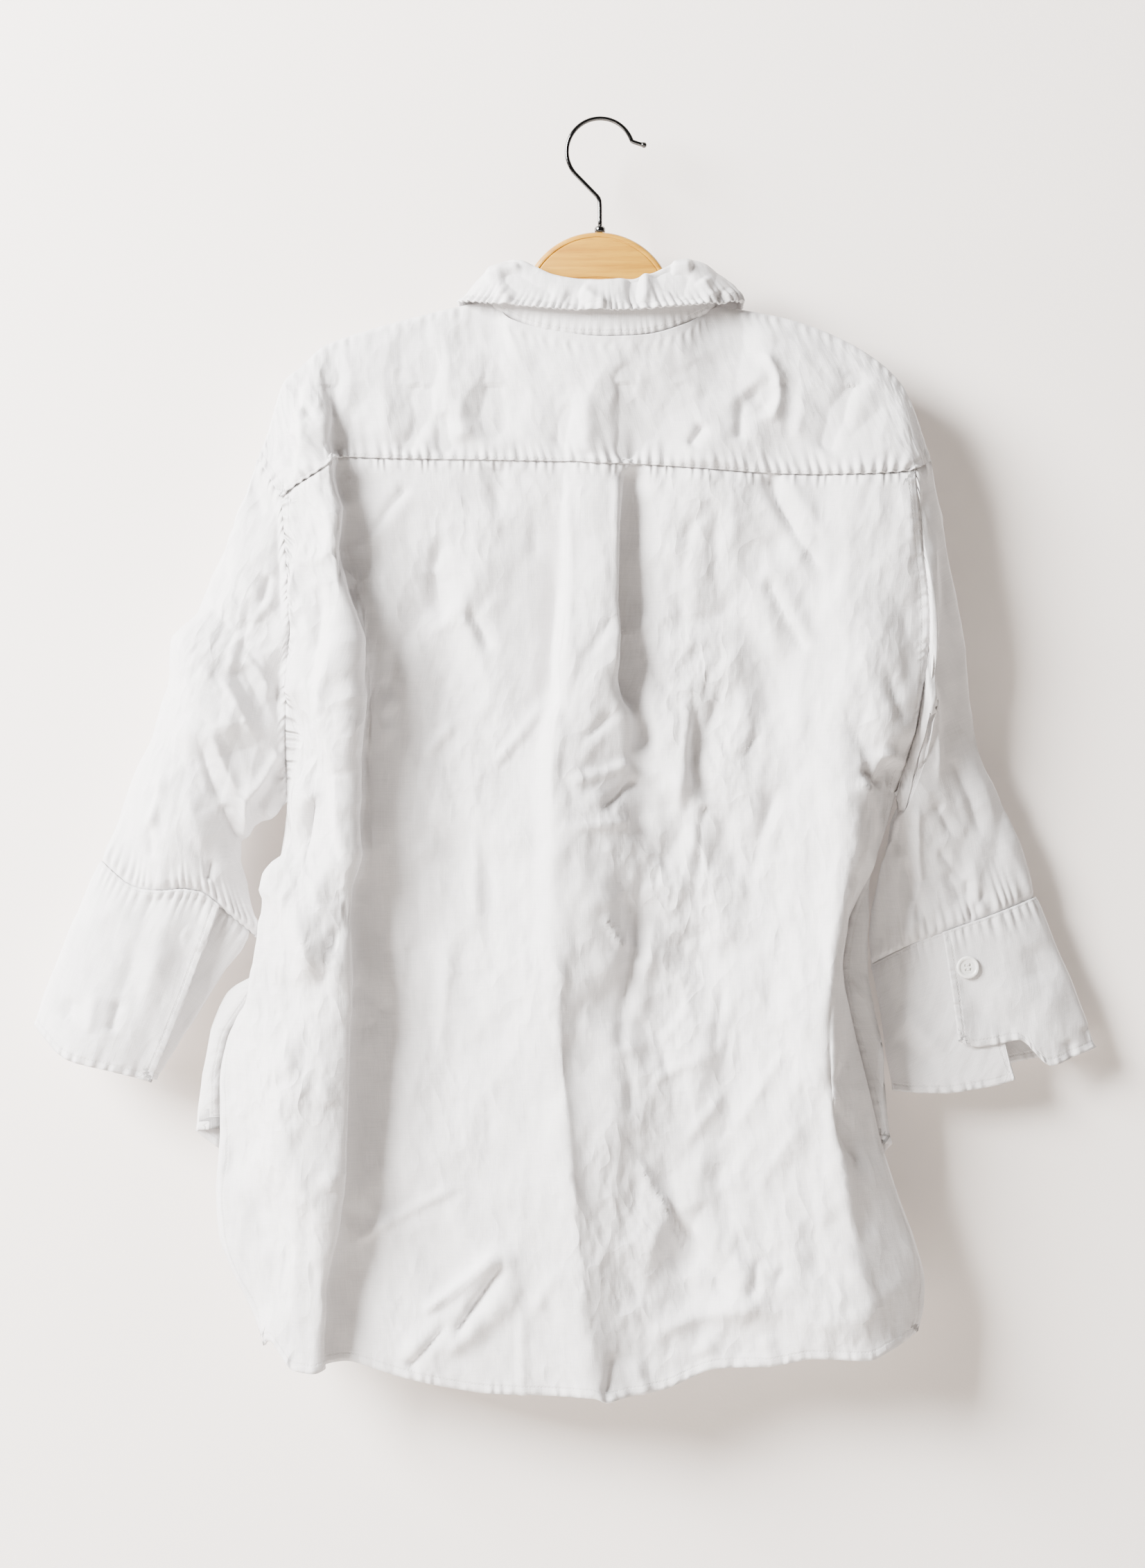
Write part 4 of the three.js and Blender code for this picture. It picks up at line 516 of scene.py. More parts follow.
def bell(t, width, power=2):
    return np.exp(-((t / width) ** power))


def lerp(a, b, t):
    return a + (b - a) * t


def unit(v):
    return v / np.maximum(np.linalg.norm(v, axis=-1, keepdims=True), 1e-9)


def curve(xs, ys):
    """A monotone cubic through the rows of ys, which may be points."""
    xs = np.asarray(xs, float)
    ys = np.asarray(ys, float)
    step = np.diff(xs).reshape((-1,) + (1,) * (ys.ndim - 1))
    rate = np.diff(ys, axis=0) / step
    slope = np.zeros_like(ys)
    slope[0] = rate[0]
    slope[-1] = rate[-1]
    if len(xs) > 2:
        same = rate[:-1] * rate[1:] > 0
        w1 = 2 * step[1:] + step[:-1]
        w2 = step[1:] + 2 * step[:-1]
        low = np.where(same, rate[:-1], 1)
        high = np.where(same, rate[1:], 1)
        slope[1:-1] = np.where(same, (w1 + w2) / (w1 / low + w2 / high), 0)

    def at(x):
        x = np.clip(np.asarray(x, float), xs[0], xs[-1])
        i = np.clip(np.searchsorted(xs, x, side="right") - 1, 0, len(xs) - 2)
        h = (xs[i + 1] - xs[i]).reshape(x.shape + (1,) * (ys.ndim - 1))
        t = ((x - xs[i]).reshape(h.shape)) / h
        t2 = t * t
        t3 = t2 * t
        return (ys[i] * (2 * t3 - 3 * t2 + 1) + ys[i + 1] * (3 * t2 - 2 * t3)
                + h * (slope[i] * (t3 - 2 * t2 + t) + slope[i + 1] * (t3 - t2)))
    return at


def lengths(points):
    """The length along a row of points, from its first."""
    steps = np.linalg.norm(np.diff(points, axis=0), axis=1)
    return np.concatenate([[0], np.cumsum(steps)])


def even(line, span, count, floor=0.25):
    """Parameters along a bundle of lines at equal mean lengths."""
    t = np.linspace(span[0], span[1], 40 * int(span[1] - span[0] + 1))
    run = np.linalg.norm(np.diff(line(t), axis=0), axis=-1)
    run = run.reshape(len(run), -1).mean(axis=1)
    run = np.maximum(run, floor * run.mean())
    total = np.concatenate([[0], np.cumsum(run)])
    return np.interp(np.linspace(0, total[-1], count), total, t)


def refine(grid, rows, cols, wrap=False):
    """A grid with rows and columns even along the cloth, and its columns' parameters."""
    if wrap:
        turned = np.concatenate([grid[:, -3:], grid, grid[:, :4]], axis=1)
        across = curve(np.arange(-3, grid.shape[1] + 4), turned.transpose(1, 0, 2))
        s = even(across, (0, grid.shape[1]), cols + 1)[:-1]
    else:
        across = curve(np.arange(grid.shape[1]), grid.transpose(1, 0, 2))
        s = even(across, (0, grid.shape[1] - 1), cols)
    down = curve(np.arange(len(grid)), across(s).transpose(1, 0, 2))
    return down(even(down, (0, len(grid) - 1), rows)), s


# ---- Noise -------------------------------------------------------------------
TABLE = np.random.default_rng(20).uniform(-1, 1, (64, 256, 256))
SKEW = 0.3660254
FACET_WARP = 0.55
FACET_TURN = 0.5


def soft(x, y, size, seed):
    x = np.asarray(x) / size
    y = np.asarray(y) / size
    i = np.floor(x).astype(int)
    j = np.floor(y).astype(int)
    a = x - i
    b = y - j
    a = a * a * (3 - 2 * a)
    b = b * b * (3 - 2 * b)
    t = TABLE[seed % 64]
    i0, i1, j0, j1 = i % 256, (i + 1) % 256, j % 256, (j + 1) % 256
    return lerp(lerp(t[i0, j0], t[i1, j0], a), lerp(t[i0, j1], t[i1, j1], a), b)


def line_noise(x, size, seed):
    return soft(x, np.zeros_like(x) + 0.37 * seed, size, seed)


def facets(x, y, size, seed, stretch):
    """Flat facets that meet in sharp ridges, as in crumpled linen."""
    warp = FACET_WARP * size
    u = x + warp * soft(x, y, 1.7 * size, seed + 1)
    w = (y + warp * soft(x, y, 1.7 * size, seed + 2)) / stretch
    c, s = math.cos(FACET_TURN), math.sin(FACET_TURN)
    u, w = u * c + w * s, -u * s + w * c
    u = u / size
    w = w / size
    skew = (u + w) * SKEW
    a = u + skew
    b = w + skew
    i = np.floor(a).astype(int)
    j = np.floor(b).astype(int)
    fa = a - i
    fb = b - j
    t = TABLE[(seed + 3) % 64]
    i0, i1, j0, j1 = i % 256, (i + 1) % 256, j % 256, (j + 1) % 256
    low = (1 - fa) * t[i0, j0] + (fa - fb) * t[i1, j0] + fb * t[i1, j1]
    high = (1 - fb) * t[i0, j0] + (fb - fa) * t[i0, j1] + fa * t[i1, j1]
    return np.where(fa > fb, low, high)


# ---- Reliefs -----------------------------------------------------------------
CREASE_GAIN = 1.5
CREASE_POWER = 1.6
# Facets: rise, size, seed step, stretch.
CRUMPLES = [(5.2, 52, 0, 1.8), (2.9, 27, 5, 1.6), (0.65, 12, 9, 1.4)]


def seen(p):
    """Where the camera sees a point, on the plane y = 0."""
    k = -CAMERA[1] / (p[..., 1] - CAMERA[1])
    return CAMERA[0] + (p[..., 0] - CAMERA[0]) * k, CAMERA[2] + (p[..., 2] - CAMERA[2]) * k


def creases(x, z, table):
    """The relief of a table's creases."""
    total = np.zeros_like(x)
    for _, x0, z0, x1, z1, bow, width, rise, *more in table:
        lean, *fades = more + CREASE_REST[len(more):]
        dx, dz = x1 - x0, z1 - z0
        length = math.hypot(dx, dz)
        t = ((x - x0) * dx + (z - z0) * dz) / length ** 2
        d = ((x - x0) * dz - (z - z0) * dx) / length - bow * 4 * t * (1 - t)
        right = width * (1 - 0.6 * max(lean, 0)) * (1 + 0.4 * max(-lean, 0))
        left = width * (1 - 0.6 * max(-lean, 0)) * (1 + 0.4 * max(lean, 0))
        w = np.where(d > 0, right, left)
        # An end that fades nowhere meets the next crease, or an edge, at half its height.
        start, end = (
            smooth(-0.02, fade, share) if fade else smooth(-5 / length, 5 / length, share)
            for fade, share in zip(fades, (t, 1 - t)))
        total += rise * start * end * bell(np.abs(d), w, CREASE_POWER)
    return CREASE_GAIN * total


def broad(x, z):
    total = np.zeros_like(x)
    for _, a, b, width, rise in BROAD:
        dx, dz = b[0] - a[0], b[1] - a[1]
        length = math.hypot(dx, dz)
        along = ((x - a[0]) * dx + (z - a[1]) * dz) / length
        across = ((x - a[0]) * dz - (z - a[1]) * dx) / length
        ends = smooth(-width, width, along) * smooth(-width, width, length - along)
        total += rise * ends * bell(across, width)
    return total


def worn_at(x, z):
    """How crumpled the cloth is at a place."""
    spots = np.zeros_like(x)
    for _, cx, cz, rx, rz, w in CRUMPLED:
        spots += w * np.exp(-((x - cx) / rx) ** 2 - ((z - cz) / rz) ** 2)
    return 0.7 + np.minimum(spots, 1.7)


def crumple(x, z, seed, weight=1.0):
    much = weight * worn_at(x, z)
    return much * sum(rise * facets(x, z, size, seed + step, stretch)
                      for rise, size, step, stretch in CRUMPLES)


def pucker(run, away, pitch, rise, reach, seed, root):
    """Gathers beside a seam: run is along it and away the distance from it."""
    phase = run / pitch + 0.6 * line_noise(run, 2.3 * pitch, seed)
    height = 0.6 + 0.4 * line_noise(run, 1.1 * pitch, seed + 1)
    long = reach * (1 + 0.5 * line_noise(run, 0.8 * pitch, seed + 2))
    wave = np.cos(2 * math.pi * phase)
    k = np.maximum(away, 0) / long
    return rise * height * wave * np.minimum(1, k * 2.5 + root) * bell(k, 1, 1.5)


# ---- Grids to meshes ---------------------------------------------------------
def faces_of(grid, wrap, facing):
    """Unit face vectors of a grid, turned so that its middle looks along facing."""
    if wrap:
        across = np.roll(grid, -1, axis=1) - np.roll(grid, 1, axis=1)
    else:
        across = np.gradient(grid, axis=1)
    n = unit(np.cross(across, np.gradient(grid, axis=0)))
    probe = n[len(n) // 2, int(n.shape[1] * facing[3])]
    return n if probe @ np.array(facing[:3], float) > 0 else -n


def runs(grid):
    """Lengths along the cloth: down a column, and across a row from its start."""
    down = np.zeros(grid.shape[:2])
    across = np.zeros(grid.shape[:2])
    down[1:] = np.cumsum(np.linalg.norm(np.diff(grid, axis=0), axis=-1), axis=0)
    across[:, 1:] = np.cumsum(np.linalg.norm(np.diff(grid, axis=1), axis=-1), axis=1)
    return down, across


def make(name, position, faces, material, attributes=None, smooth_faces=True):
    mesh = bpy.data.meshes.new(name)
    position = np.asarray(position, float) * 0.001
    mesh.vertices.add(len(position))
    mesh.vertices.foreach_set("co", position.astype(np.float32).ravel())
    sizes = np.array([len(face) for face in faces], np.int32)
    corners = np.array([i for face in faces for i in face], np.int32)
    mesh.loops.add(len(corners))
    mesh.loops.foreach_set("vertex_index", corners)
    mesh.polygons.add(len(sizes))
    starts = np.concatenate([[0], np.cumsum(sizes)[:-1]]).astype(np.int32)
    mesh.polygons.foreach_set("loop_start", starts)
    mesh.polygons.foreach_set("use_smooth", np.full(len(sizes), smooth_faces))
    mesh.update(calc_edges=True)
    mesh.validate()
    for key, values in (attributes or {}).items():
        layer = mesh.attributes.new(key, "FLOAT", "POINT")
        layer.data.foreach_set("value", np.asarray(values, np.float32).ravel())
    mesh.materials.append(material)
    obj = bpy.data.objects.new(name, mesh)
    bpy.context.scene.collection.objects.link(obj)
    return obj


def shell(name, grid, n, thickness, wrap, attributes):
    """A cloth piece: the grid's two faces, thickness apart, and its rim."""
    rows, cols = grid.shape[:2]
    half = rows * cols
    thick = np.broadcast_to(np.asarray(thickness, float), (rows, cols))[..., None]
    position = np.concatenate([
        (grid + n * thick / 2).reshape(-1, 3), (grid - n * thick / 2).reshape(-1, 3)])
    index = np.arange(half).reshape(rows, cols)
    if wrap:
        index = np.concatenate([index, index[:, :1]], axis=1)

    def rim(line):
        cur, nxt = line[:-1], line[1:]
        return np.stack([cur, cur + half, nxt + half, nxt], -1)

    outer = np.stack([index[:-1, :-1], index[:-1, 1:], index[1:, 1:], index[1:, :-1]], -1)
    outer = outer.reshape(-1, 4)
    rims = [rim(index[0]), rim(index[-1])[:, ::-1]]
    if not wrap:
        rims += [np.roll(rim(index[:, 0])[:, ::-1], 1, axis=1), rim(index[:, -1])]
    normal = np.cross(grid[0, 1] - grid[0, 0], grid[1, 0] - grid[0, 0])
    if normal @ n[0, 0] < 0:
        outer = outer[:, ::-1]
        rims = [faces[:, ::-1] for faces in rims]
    faces = np.concatenate([outer, outer[:, ::-1] + half] + rims).tolist()
    both = {k: np.concatenate([np.ravel(v), np.ravel(v)]) for k, v in attributes.items()}
    return make(name, position, faces, LINEN, both)


# ---- Body lines --------------------------------------------------------------
def edge_line(edge):
    return curve(edge["v"], np.stack([edge["x"], edge["y"], edge["z"]], -1))


LEFT_LINE = edge_line(LEFT_EDGE)
RIGHT_LINE = edge_line(RIGHT_EDGE)
LAST = len(BACK_FOLDS) + 1


def fold_line(fold, v):
    _, _, seam, hem, x, out = fold
    v = np.asarray(v, float)
    return np.stack([
        curve(LEVELS, x)(v), -BACK_PLANE - curve(LEVELS, out)(v), lerp(seam, hem, v)], -1)


def back_lines(v):
    v = np.atleast_1d(v)
    return np.stack([LEFT_LINE(v)] + [fold_line(f, v) for f in BACK_FOLDS] + [RIGHT_LINE(v)])


def back_grid(s, v):
    p = curve(np.arange(LAST + 1), back_lines(v))(s).transpose(1, 0, 2).copy()
    vv, ss = np.meshgrid(v, s, indexing="ij")
    inside = smooth(0, 0.05, vv) * smooth(0, 0.04, 1 - vv)
    inside = inside * smooth(0, 1.5, ss) * smooth(0, 1.5, LAST - ss)
    p[..., 1] -= inside * broad(p[..., 0], p[..., 2])
    return p


TOPS = np.array([SLEEVE_TOP_LEFT] + [f[1] for f in BACK_FOLDS] + [SLEEVE_TOP_RIGHT], float)
TOPS[:, 2] -= 0.8
TOP_LINE = curve(np.arange(LAST + 1), TOPS)
CAP_LINE = curve(np.arange(LAST + 1), [
    0.0 if FIRST_NECK_FOLD <= i <= LAST_NECK_FOLD else 1.0 for i in range(LAST + 1)])


def cap_points(top, cap, way):
    """The three rows in which the cloth turns over the hanger, toward y = way."""
    flat = 1 - cap
    one, two, three = top.copy(), top.copy(), top.copy()
    two[..., 1] += way * 4.2 * cap
    two[..., 2] -= 3 * flat
    three[..., 1] += way * CAP_HALF * cap
    three[..., 2] -= CAP_DROP * cap + 8 * flat
    return [one, two, three]


def yoke_rows(s):
    s = np.atleast_1d(s)
    head = cap_points(TOP_LINE(s), CAP_LINE(s), -1)
    foot = back_grid(s, np.array([0.0]))[0]
    tail = []
    for w in YOKE_ROWS:
        p = lerp(head[2], foot, w)
        p[:, 1] = lerp(head[2][:, 1], foot[:, 1], w ** 0.85)
        tail.append(p)
    return np.stack(head + tail)


# ---- Fronts ------------------------------------------------------------------
SIDE_ROWS = [v for v in BACK_ROWS if 0 < v <= VENT + 1e-6]
FRONT_TURN = 0.85


def collar_line(table, lean=0.0):
    line = curve(COLLAR_TURN, np.stack([table["x"], table["y"], table["z"]], -1))

    def at(turn):
        turn = np.asarray(turn, float)
        t = np.abs(turn)
        reach = np.where(t > 1, -1, 1)
        p = line(np.where(t > 1, 2 - t, t))
        x = np.sign(turn) * reach * p[..., 0]
        return np.stack([COLLAR_SHIFT + x, p[..., 1], p[..., 2] - lean * x], -1)
    return at


NECK_LINE = collar_line(NECK, NECK_LEAN)
FOLD_AT = collar_line(FOLD_LINE)
EDGE_AT = collar_line(FALL_EDGE)


def end_of(side):
    """The parameter of the back's first or last line."""
    return 0.0 if side < 0 else float(LAST)


def front_edge(front):
    upper = yoke_rows([end_of(front["side"])])[:, 0].copy()
    upper[:, 1] *= -FRONT_TURN
    lower = edge_line(front["edge"])(SIDE_ROWS)
    v = np.array(SIDE_ROWS)
    turned = lerp(-FRONT_TURN * lower[:, 1], lower[:, 1], (v / ARMPIT) ** 8)
    lower[:, 1] = np.where(v < ARMPIT - 1e-6, turned, lower[:, 1])
    return np.concatenate([upper, lower])


def front_head(front, s):
    s = np.atleast_1d(np.asarray(s, float))
    share = curve(range(7), front["shares"])(s)
    shoulder = cap_points(TOP_LINE(share), 1, 1)
    turn = curve([6, 6.5, 7, 7.5, 8], NECK_TURNS)(s)
    top = NECK_LINE(turn * front["side"])
    top[:, 1] += front["step"] * smooth(0.7, 0.95, turn)
    neck = cap_points(top, 0, 1)
    pick = (s <= 6)[:, None]
    return np.stack([np.where(pick, a, b) for a, b in zip(shoulder, neck)])


def front_rows(front, s):
    """The front's rows of control points, at the fine columns s."""
    edge = front_edge(front)
    run = lengths(edge)
    share = (run - run[2]) / (run[-1] - run[2])
    outline = curve(front["flankZ"], front["flankX"])
    armpit = edge_line(front["edge"])(ARMPIT)[2]
    low = smooth(0, 70, armpit + 60 - edge[:, 2])
    flank = np.stack([
        lerp(edge[:, 0] - front["side"] * 6, outline(edge[:, 2]), low),
        edge[:, 1] + lerp(3.5, 5, low), edge[:, 2] - 1.5], -1)
    columns = [edge, flank]
    for n, (_, hem, x, y) in enumerate(front["columns"]):
        head = front_head(front, n + 2)[2, 0]
        columns.append(np.stack([
            curve(FRONT_LEVELS, (head[0],) + tuple(x))(share),
            curve(FRONT_LEVELS, (head[1],) + tuple(y))(share),
            lerp(head[2], hem, share)], -1))
    rows = curve(np.arange(len(columns)), np.stack(columns))(s).transpose(1, 0, 2).copy()
    heads = front_head(front, s)
    near = np.where(s > 0.6, 1, smooth(0, 0.6, s))[:, None]
    for i in range(3):
        rows[i] = lerp(edge[i], heads[i], near)
    return rows


# ---- Sleeves and cuffs -------------------------------------------------------
def ring_point(outer, inner, mid, reach, u):
    bulge = np.maximum(0, np.sin(math.pi * u)) ** SLEEVE_ROUND
    return np.stack([
        lerp(outer[0], inner[0], u), mid + reach * bulge, lerp(outer[1], inner[1], u)], -1)


def shares_of(points):
    run = lengths(points)
    return run / run[-1]


def armhole(side):
    line = LEFT_LINE if side < 0 else RIGHT_LINE
    upto = [v for v in SIDE_ROWS if v <= ARMPIT + 1e-6]
    rear = np.concatenate([yoke_rows([end_of(side)])[:, 0], line(upto)])
    front = front_edge(FRONT_LEFT if side < 0 else FRONT_RIGHT)[:len(rear)]
    return rear, front


def sleeve_rows(side, rings, cuff):
    """Control rows round the sleeve: its back from the top down, its front up again."""
    rear, front = armhole(side)
    rear_us, front_us = shares_of(rear), shares_of(front)
    first = ((rear[0, 0], rear[0, 2]), (rear[-1, 0], rear[-1, 2]), 0, 22, 18)
    drop = curve(cuff["topU"], cuff["topZ"])
    rows = []
    for k, ring in enumerate([first] + rings):
        blend = SLEEVE_BLEND[k] if k < len(SLEEVE_BLEND) else 0
        back = ring_point(*ring[:3], -ring[3], rear_us)
        back += (rear - ring_point(*first[:3], -first[3], rear_us)) * blend
        back[:, 2] += drop(rear_us) * float(smooth(len(rings) - 2, len(rings), k))
        fore = ring_point(*ring[:3], ring[4], front_us)
        fore += (front - ring_point(*first[:3], first[4], front_us)) * blend
        rows.append(np.concatenate([back, fore[1:-1][::-1]]))
    return np.stack(rows), rear_us, front_us


def cuff_stations(rear_us, front_us, cuff):
    """Round the cuff: -1 at the back or 1 at the front, the share across, and 2 at the end."""
    flap, under = cuff["flap"][0], cuff["under"][0]
    stations = [(-1, flap, 1)]
    stations += [(-1, u, 0) for u in rear_us[::-1] if u < flap - 0.02]
    stations += [(1, u, 0) for u in front_us[1:-1]]
    stations += [(-1, u, 0) for u in rear_us[::-1] if u > under + 0.02]
    return stations + [(-1, under, 2)]


def cuff_rows(rear_us, front_us, rings, cuff):
    last = rings[-1]
    top = curve(cuff["topU"], cuff["topZ"])
    foot = curve(cuff["footU"], cuff["footZ"])
    length = curve(cuff["lengthQ"], cuff["lengthT"])
    stations = cuff_stations(rear_us, front_us, cuff)
    way_down = np.array([cuff["outer"][0] - last[0][0], 0, cuff["outer"][1] - last[0][1]], float)
    way_down /= np.linalg.norm(way_down)
    rows = []
    for row in CUFF_ROWS:
        line = []
        for n, (way, u, end) in enumerate(stations):
            q = n / (len(stations) - 1)
            t = row * float(length(q))
            share = u
            if way < 0 and n <= len(rear_us) and q < 0.5:
                share = min(1, u * lerp(cuff["flap"][0], cuff["flap"][1], t) / cuff["flap"][0])
            if end == 2:
                share = lerp(cuff["under"][0], cuff["under"][1], t)
            inward = cuff["lap"] * float(smooth(0.7, 0.84, q))
            outer = [lerp(last[0][i], cuff["outer"][i], t) for i in (0, 1)]
            inner = [lerp(last[1][i], cuff["inner"][i], t) for i in (0, 1)]
            mid = lerp(last[2], cuff["mid"], t)
            back = lerp(last[3], cuff["back"], t) - inward
            front = lerp(last[4], cuff["front"], t) - inward
            pull = 2 * inward / math.hypot(outer[0] - inner[0], outer[1] - inner[1])
            p = ring_point(outer, inner, mid, -back if way < 0 else front, np.float64(share))
            centre = ring_point(outer, inner, mid, 0, np.float64(0.5))
            p[0] = lerp(p[0], centre[0], pull)
            p[2] = lerp(p[2], centre[2], pull)
            p += way_down * (1 - t) * CUFF_SEAM
            if way < 0:
                p[2] += lerp(float(top(share)), float(foot(share)), t)
            line.append(p)
        rows.append(line)
    return np.array(rows)


# ---- Collar and bands --------------------------------------------------------
def stand_grid(turn, w):
    turn, w = np.meshgrid(turn, w)
    t = np.abs(turn)
    foot = NECK_LINE(turn)
    head = FOLD_AT(turn)
    foot[..., 2] += 1.0 + 1.4 * bell(t - 0.5, 0.16)
    head[..., 2] -= 2.6
    p = lerp(foot, head, w[..., None])
    p[..., 1] += 0.8 * np.sin(math.pi * w) * np.where(t < 0.5, -1, 1)
    p[..., 1] += (STAND_LAP * np.sign(turn) * 0.5 + 1.2) * smooth(0.7, 1, t)
    return p


def fall_grid(turn, w):
    turn, w = np.meshgrid(turn, w)
    top = FOLD_AT(turn)
    edge = EDGE_AT(turn)
    p = top.copy()
    p[..., 0] += (edge[..., 0] - top[..., 0]) * w
    p[..., 1] += (edge[..., 1] - top[..., 1]) * w + 2.4 * smooth(0.7, 1, np.abs(turn))
    lift = FALL_LIFT * np.sin(math.pi * np.minimum(1, w * 1.25)) ** 0.8
    p[..., 2] = lerp(top[..., 2] + 1.6, edge[..., 2], w ** 1.5) + lift
    return p


def band_grid(edge, side, widths):
    sag = BAND_SAG * smooth(-60, 0, edge[:, 2] - edge[0, 2])
    p = np.repeat(edge[:, None], len(widths), axis=1)
    p[..., 0] += side * 2 * BAND_HALF * widths
    p[..., 2] -= sag[:, None] * np.sin(math.pi * widths) ** 0.7
    return p


# ---- Materials ---------------------------------------------------------------
class Value:
    """A node's output, which can be added, subtracted and multiplied."""

    def __init__(self, nodes, socket):
        self.nodes = nodes
        self.socket = socket

    def __add__(self, other):
        return self.nodes.math("ADD", self, other)

    def __sub__(self, other):
        return self.nodes.math("SUBTRACT", self, other)

    def __mul__(self, other):
        return self.nodes.math("MULTIPLY", self, other)


class Nodes:
    """A short way to write a node material."""

    def __init__(self, name):
        self.material = bpy.data.materials.new(name)
        self.material.use_nodes = True
        self.tree = self.material.node_tree
        self.tree.nodes.clear()

    def put(self, node, key, value):
        """Sets an input of a node, or links it to another node's output."""
        if isinstance(value, Value):
            self.tree.links.new(value.socket, node.inputs[key])
        else:
            node.inputs[key].default_value = value

    def add(self, kind, output=0, **inputs):
        node = self.tree.nodes.new(kind)
        for key, value in inputs.items():
            self.put(node, key.replace("_", " "), value)
        return Value(self, node.outputs[output])

    def math(self, operation, *values):
        node = self.tree.nodes.new("ShaderNodeMath")
        node.operation = operation
        for i, value in enumerate(values):
            self.put(node, i, value)
        return Value(self, node.outputs[0])

    def attribute(self, name):
        node = self.tree.nodes.new("ShaderNodeAttribute")
        node.attribute_name = name
        return Value(self, node.outputs["Fac"])

    def vector(self, x, y, z=0.0):
        return self.add("ShaderNodeCombineXYZ", X=x, Y=y, Z=z)

    def place(self, *scales):
        """A point's place in the part, in metres, scaled along each axis."""
        place = self.add("ShaderNodeNewGeometry", "Position")
        if not scales:
            return place
        node = self.tree.nodes.new("ShaderNodeSeparateXYZ")
        self.put(node, 0, place)
        return self.vector(*[
            Value(self, socket) * scale for socket, scale in zip(node.outputs, scales)])

    def noise(self, vector, scale, detail, rough=0.5):
        return self.add("ShaderNodeTexNoise", "Fac", Vector=vector, Scale=scale, Detail=detail,
                        Roughness=rough)

    def ramp(self, value, low, high, a, b):
        return self.add("ShaderNodeMapRange", Value=value, From_Min=low, From_Max=high,
                        To_Min=a, To_Max=b)

    def mix(self, factor, a, b):
        node = self.tree.nodes.new("ShaderNodeMix")
        node.data_type = "RGBA"
        for i, value in ((0, factor), (6, a), (7, b)):
            self.put(node, i, value)
        return Value(self, node.outputs[2])

    def blend(self, factor, a, b):
        """A mix of two shaders."""
        node = self.tree.nodes.new("ShaderNodeMixShader")
        for i, value in enumerate((factor, a, b)):
            self.put(node, i, value)
        return Value(self, node.outputs[0])

    def bump(self, height, strength, distance):
        return self.add("ShaderNodeBump", Strength=strength, Distance=distance, Height=height)

    def skin(self, colour, roughness, bump, **more):
        return self.add("ShaderNodeBsdfPrincipled", Base_Color=colour, Roughness=roughness,
                        Normal=bump, **more)

    def finish(self, surface):
        self.put(self.tree.nodes.new("ShaderNodeOutputMaterial"), 0, surface)
        return self.material


def stitches(m, stitch, run):
    """Short dashes along the line where stitch is nought, and the groove that they lie in, which
    the linen both dents and darkens with painted shade.
    """
    beside = m.math("ABSOLUTE", stitch)
    dash = m.ramp(m.math("SINE", run * 2.2), -0.5, -0.1, 0, 1)
    return m.ramp(beside, 0.15, 0.5, 1, 0) * dash, m.ramp(beside, 0, 1.1, 1, 0)


def gathers(m, gather, near):
    """Gathers beside a seam: gather counts them and near is the distance over their reach."""
    uneven = m.noise(m.vector(gather * 0.45, 0, 1), 1, 1)
    wave = m.math("COSINE", (gather + uneven * 2.4) * 6.2832)
    reach = near + (m.noise(m.vector(gather * 0.9, 3, 1), 1, 1) - 0.5) * 0.7
    return wave * m.ramp(reach, 0.15, 1, 1, 0)


def linen():
    m = Nodes("white_linen")
    across, down, stitch, run, gather, near, draw, worn = [m.attribute(key) for key in (
        "across", "down", "stitch", "run", "gather", "near", "draw", "worn")]

    def layer(size_x, size_y, depth, detail, rough=0.5, turn=0):
        """Noise on the cloth, which is finer where a size is larger."""
        u, w = across * size_x, down * size_y
        if turn:
            u, w = u + down * (size_y * turn), w - across * (size_x * turn)
        return m.noise(m.vector(u, w, depth), 1, detail, rough)

    weft, warp = layer(0.055, 1.15, 0, 3, 0.6), layer(1.3, 0.04, 7, 3, 0.6)
    slub = weft + warp
    grain = m.noise(m.vector(across, down, 3), 1.7, 2, 0.7)
    cloud = layer(0.02, 0.02, 11, 2)
    weave = m.math("SINE", across * 8.6) * m.math("SINE", down * 7.9)
    thread, furrow_and_shade = stitches(m, stitch, run)
    shade = slub * 0.5 + grain * 0.25
    colour = m.mix(m.ramp(shade, 0.42, 0.82, 0, 1), LINEN_SHADE, LINEN_LIGHT)
    colour = m.mix(m.ramp(cloud, 0.35, 0.65, 0, 0.1), colour, LINEN_WARM)
    # Painted shade: the cloth is made darker in the groove of each line of stitches.
    colour = m.mix(furrow_and_shade * 0.16, colour, LINEN_FURROW_SHADE)
    # Small wrinkles, sharp along their crests, in patches of their own.
    patch = m.ramp(layer(0.013, 0.011, 2, 2), 0.36, 0.64, 0.35, 1.25)
    crest = m.math("ABSOLUTE", layer(0.045, 0.026, 4, 1, turn=0.4) - 0.5)
    wrinkles = crest * -3.6 + layer(0.05, 0.027, 9, 1.6, turn=-0.5) * 3.0
    wrinkles = wrinkles + layer(0.15, 0.09, 15, 1.5, turn=0.15) * 0.5
    height = slub * 0.16 + grain * 0.1 + weave * 0.025 + thread * 0.22 - furrow_and_shade * 0.3
    height = height + wrinkles * (patch * 1.3) * worn + gathers(m, gather, near) * draw
    bump = m.bump(height, 1, 0.001)
    skin = m.skin(colour, 0.86, bump, Specular_IOR_Level=0.25, Sheen_Weight=0.04,
                  Sheen_Roughness=0.5)
    through = m.add("ShaderNodeBsdfTranslucent", Color=colour, Normal=bump)
    return m.finish(m.blend(0.08, skin, through))


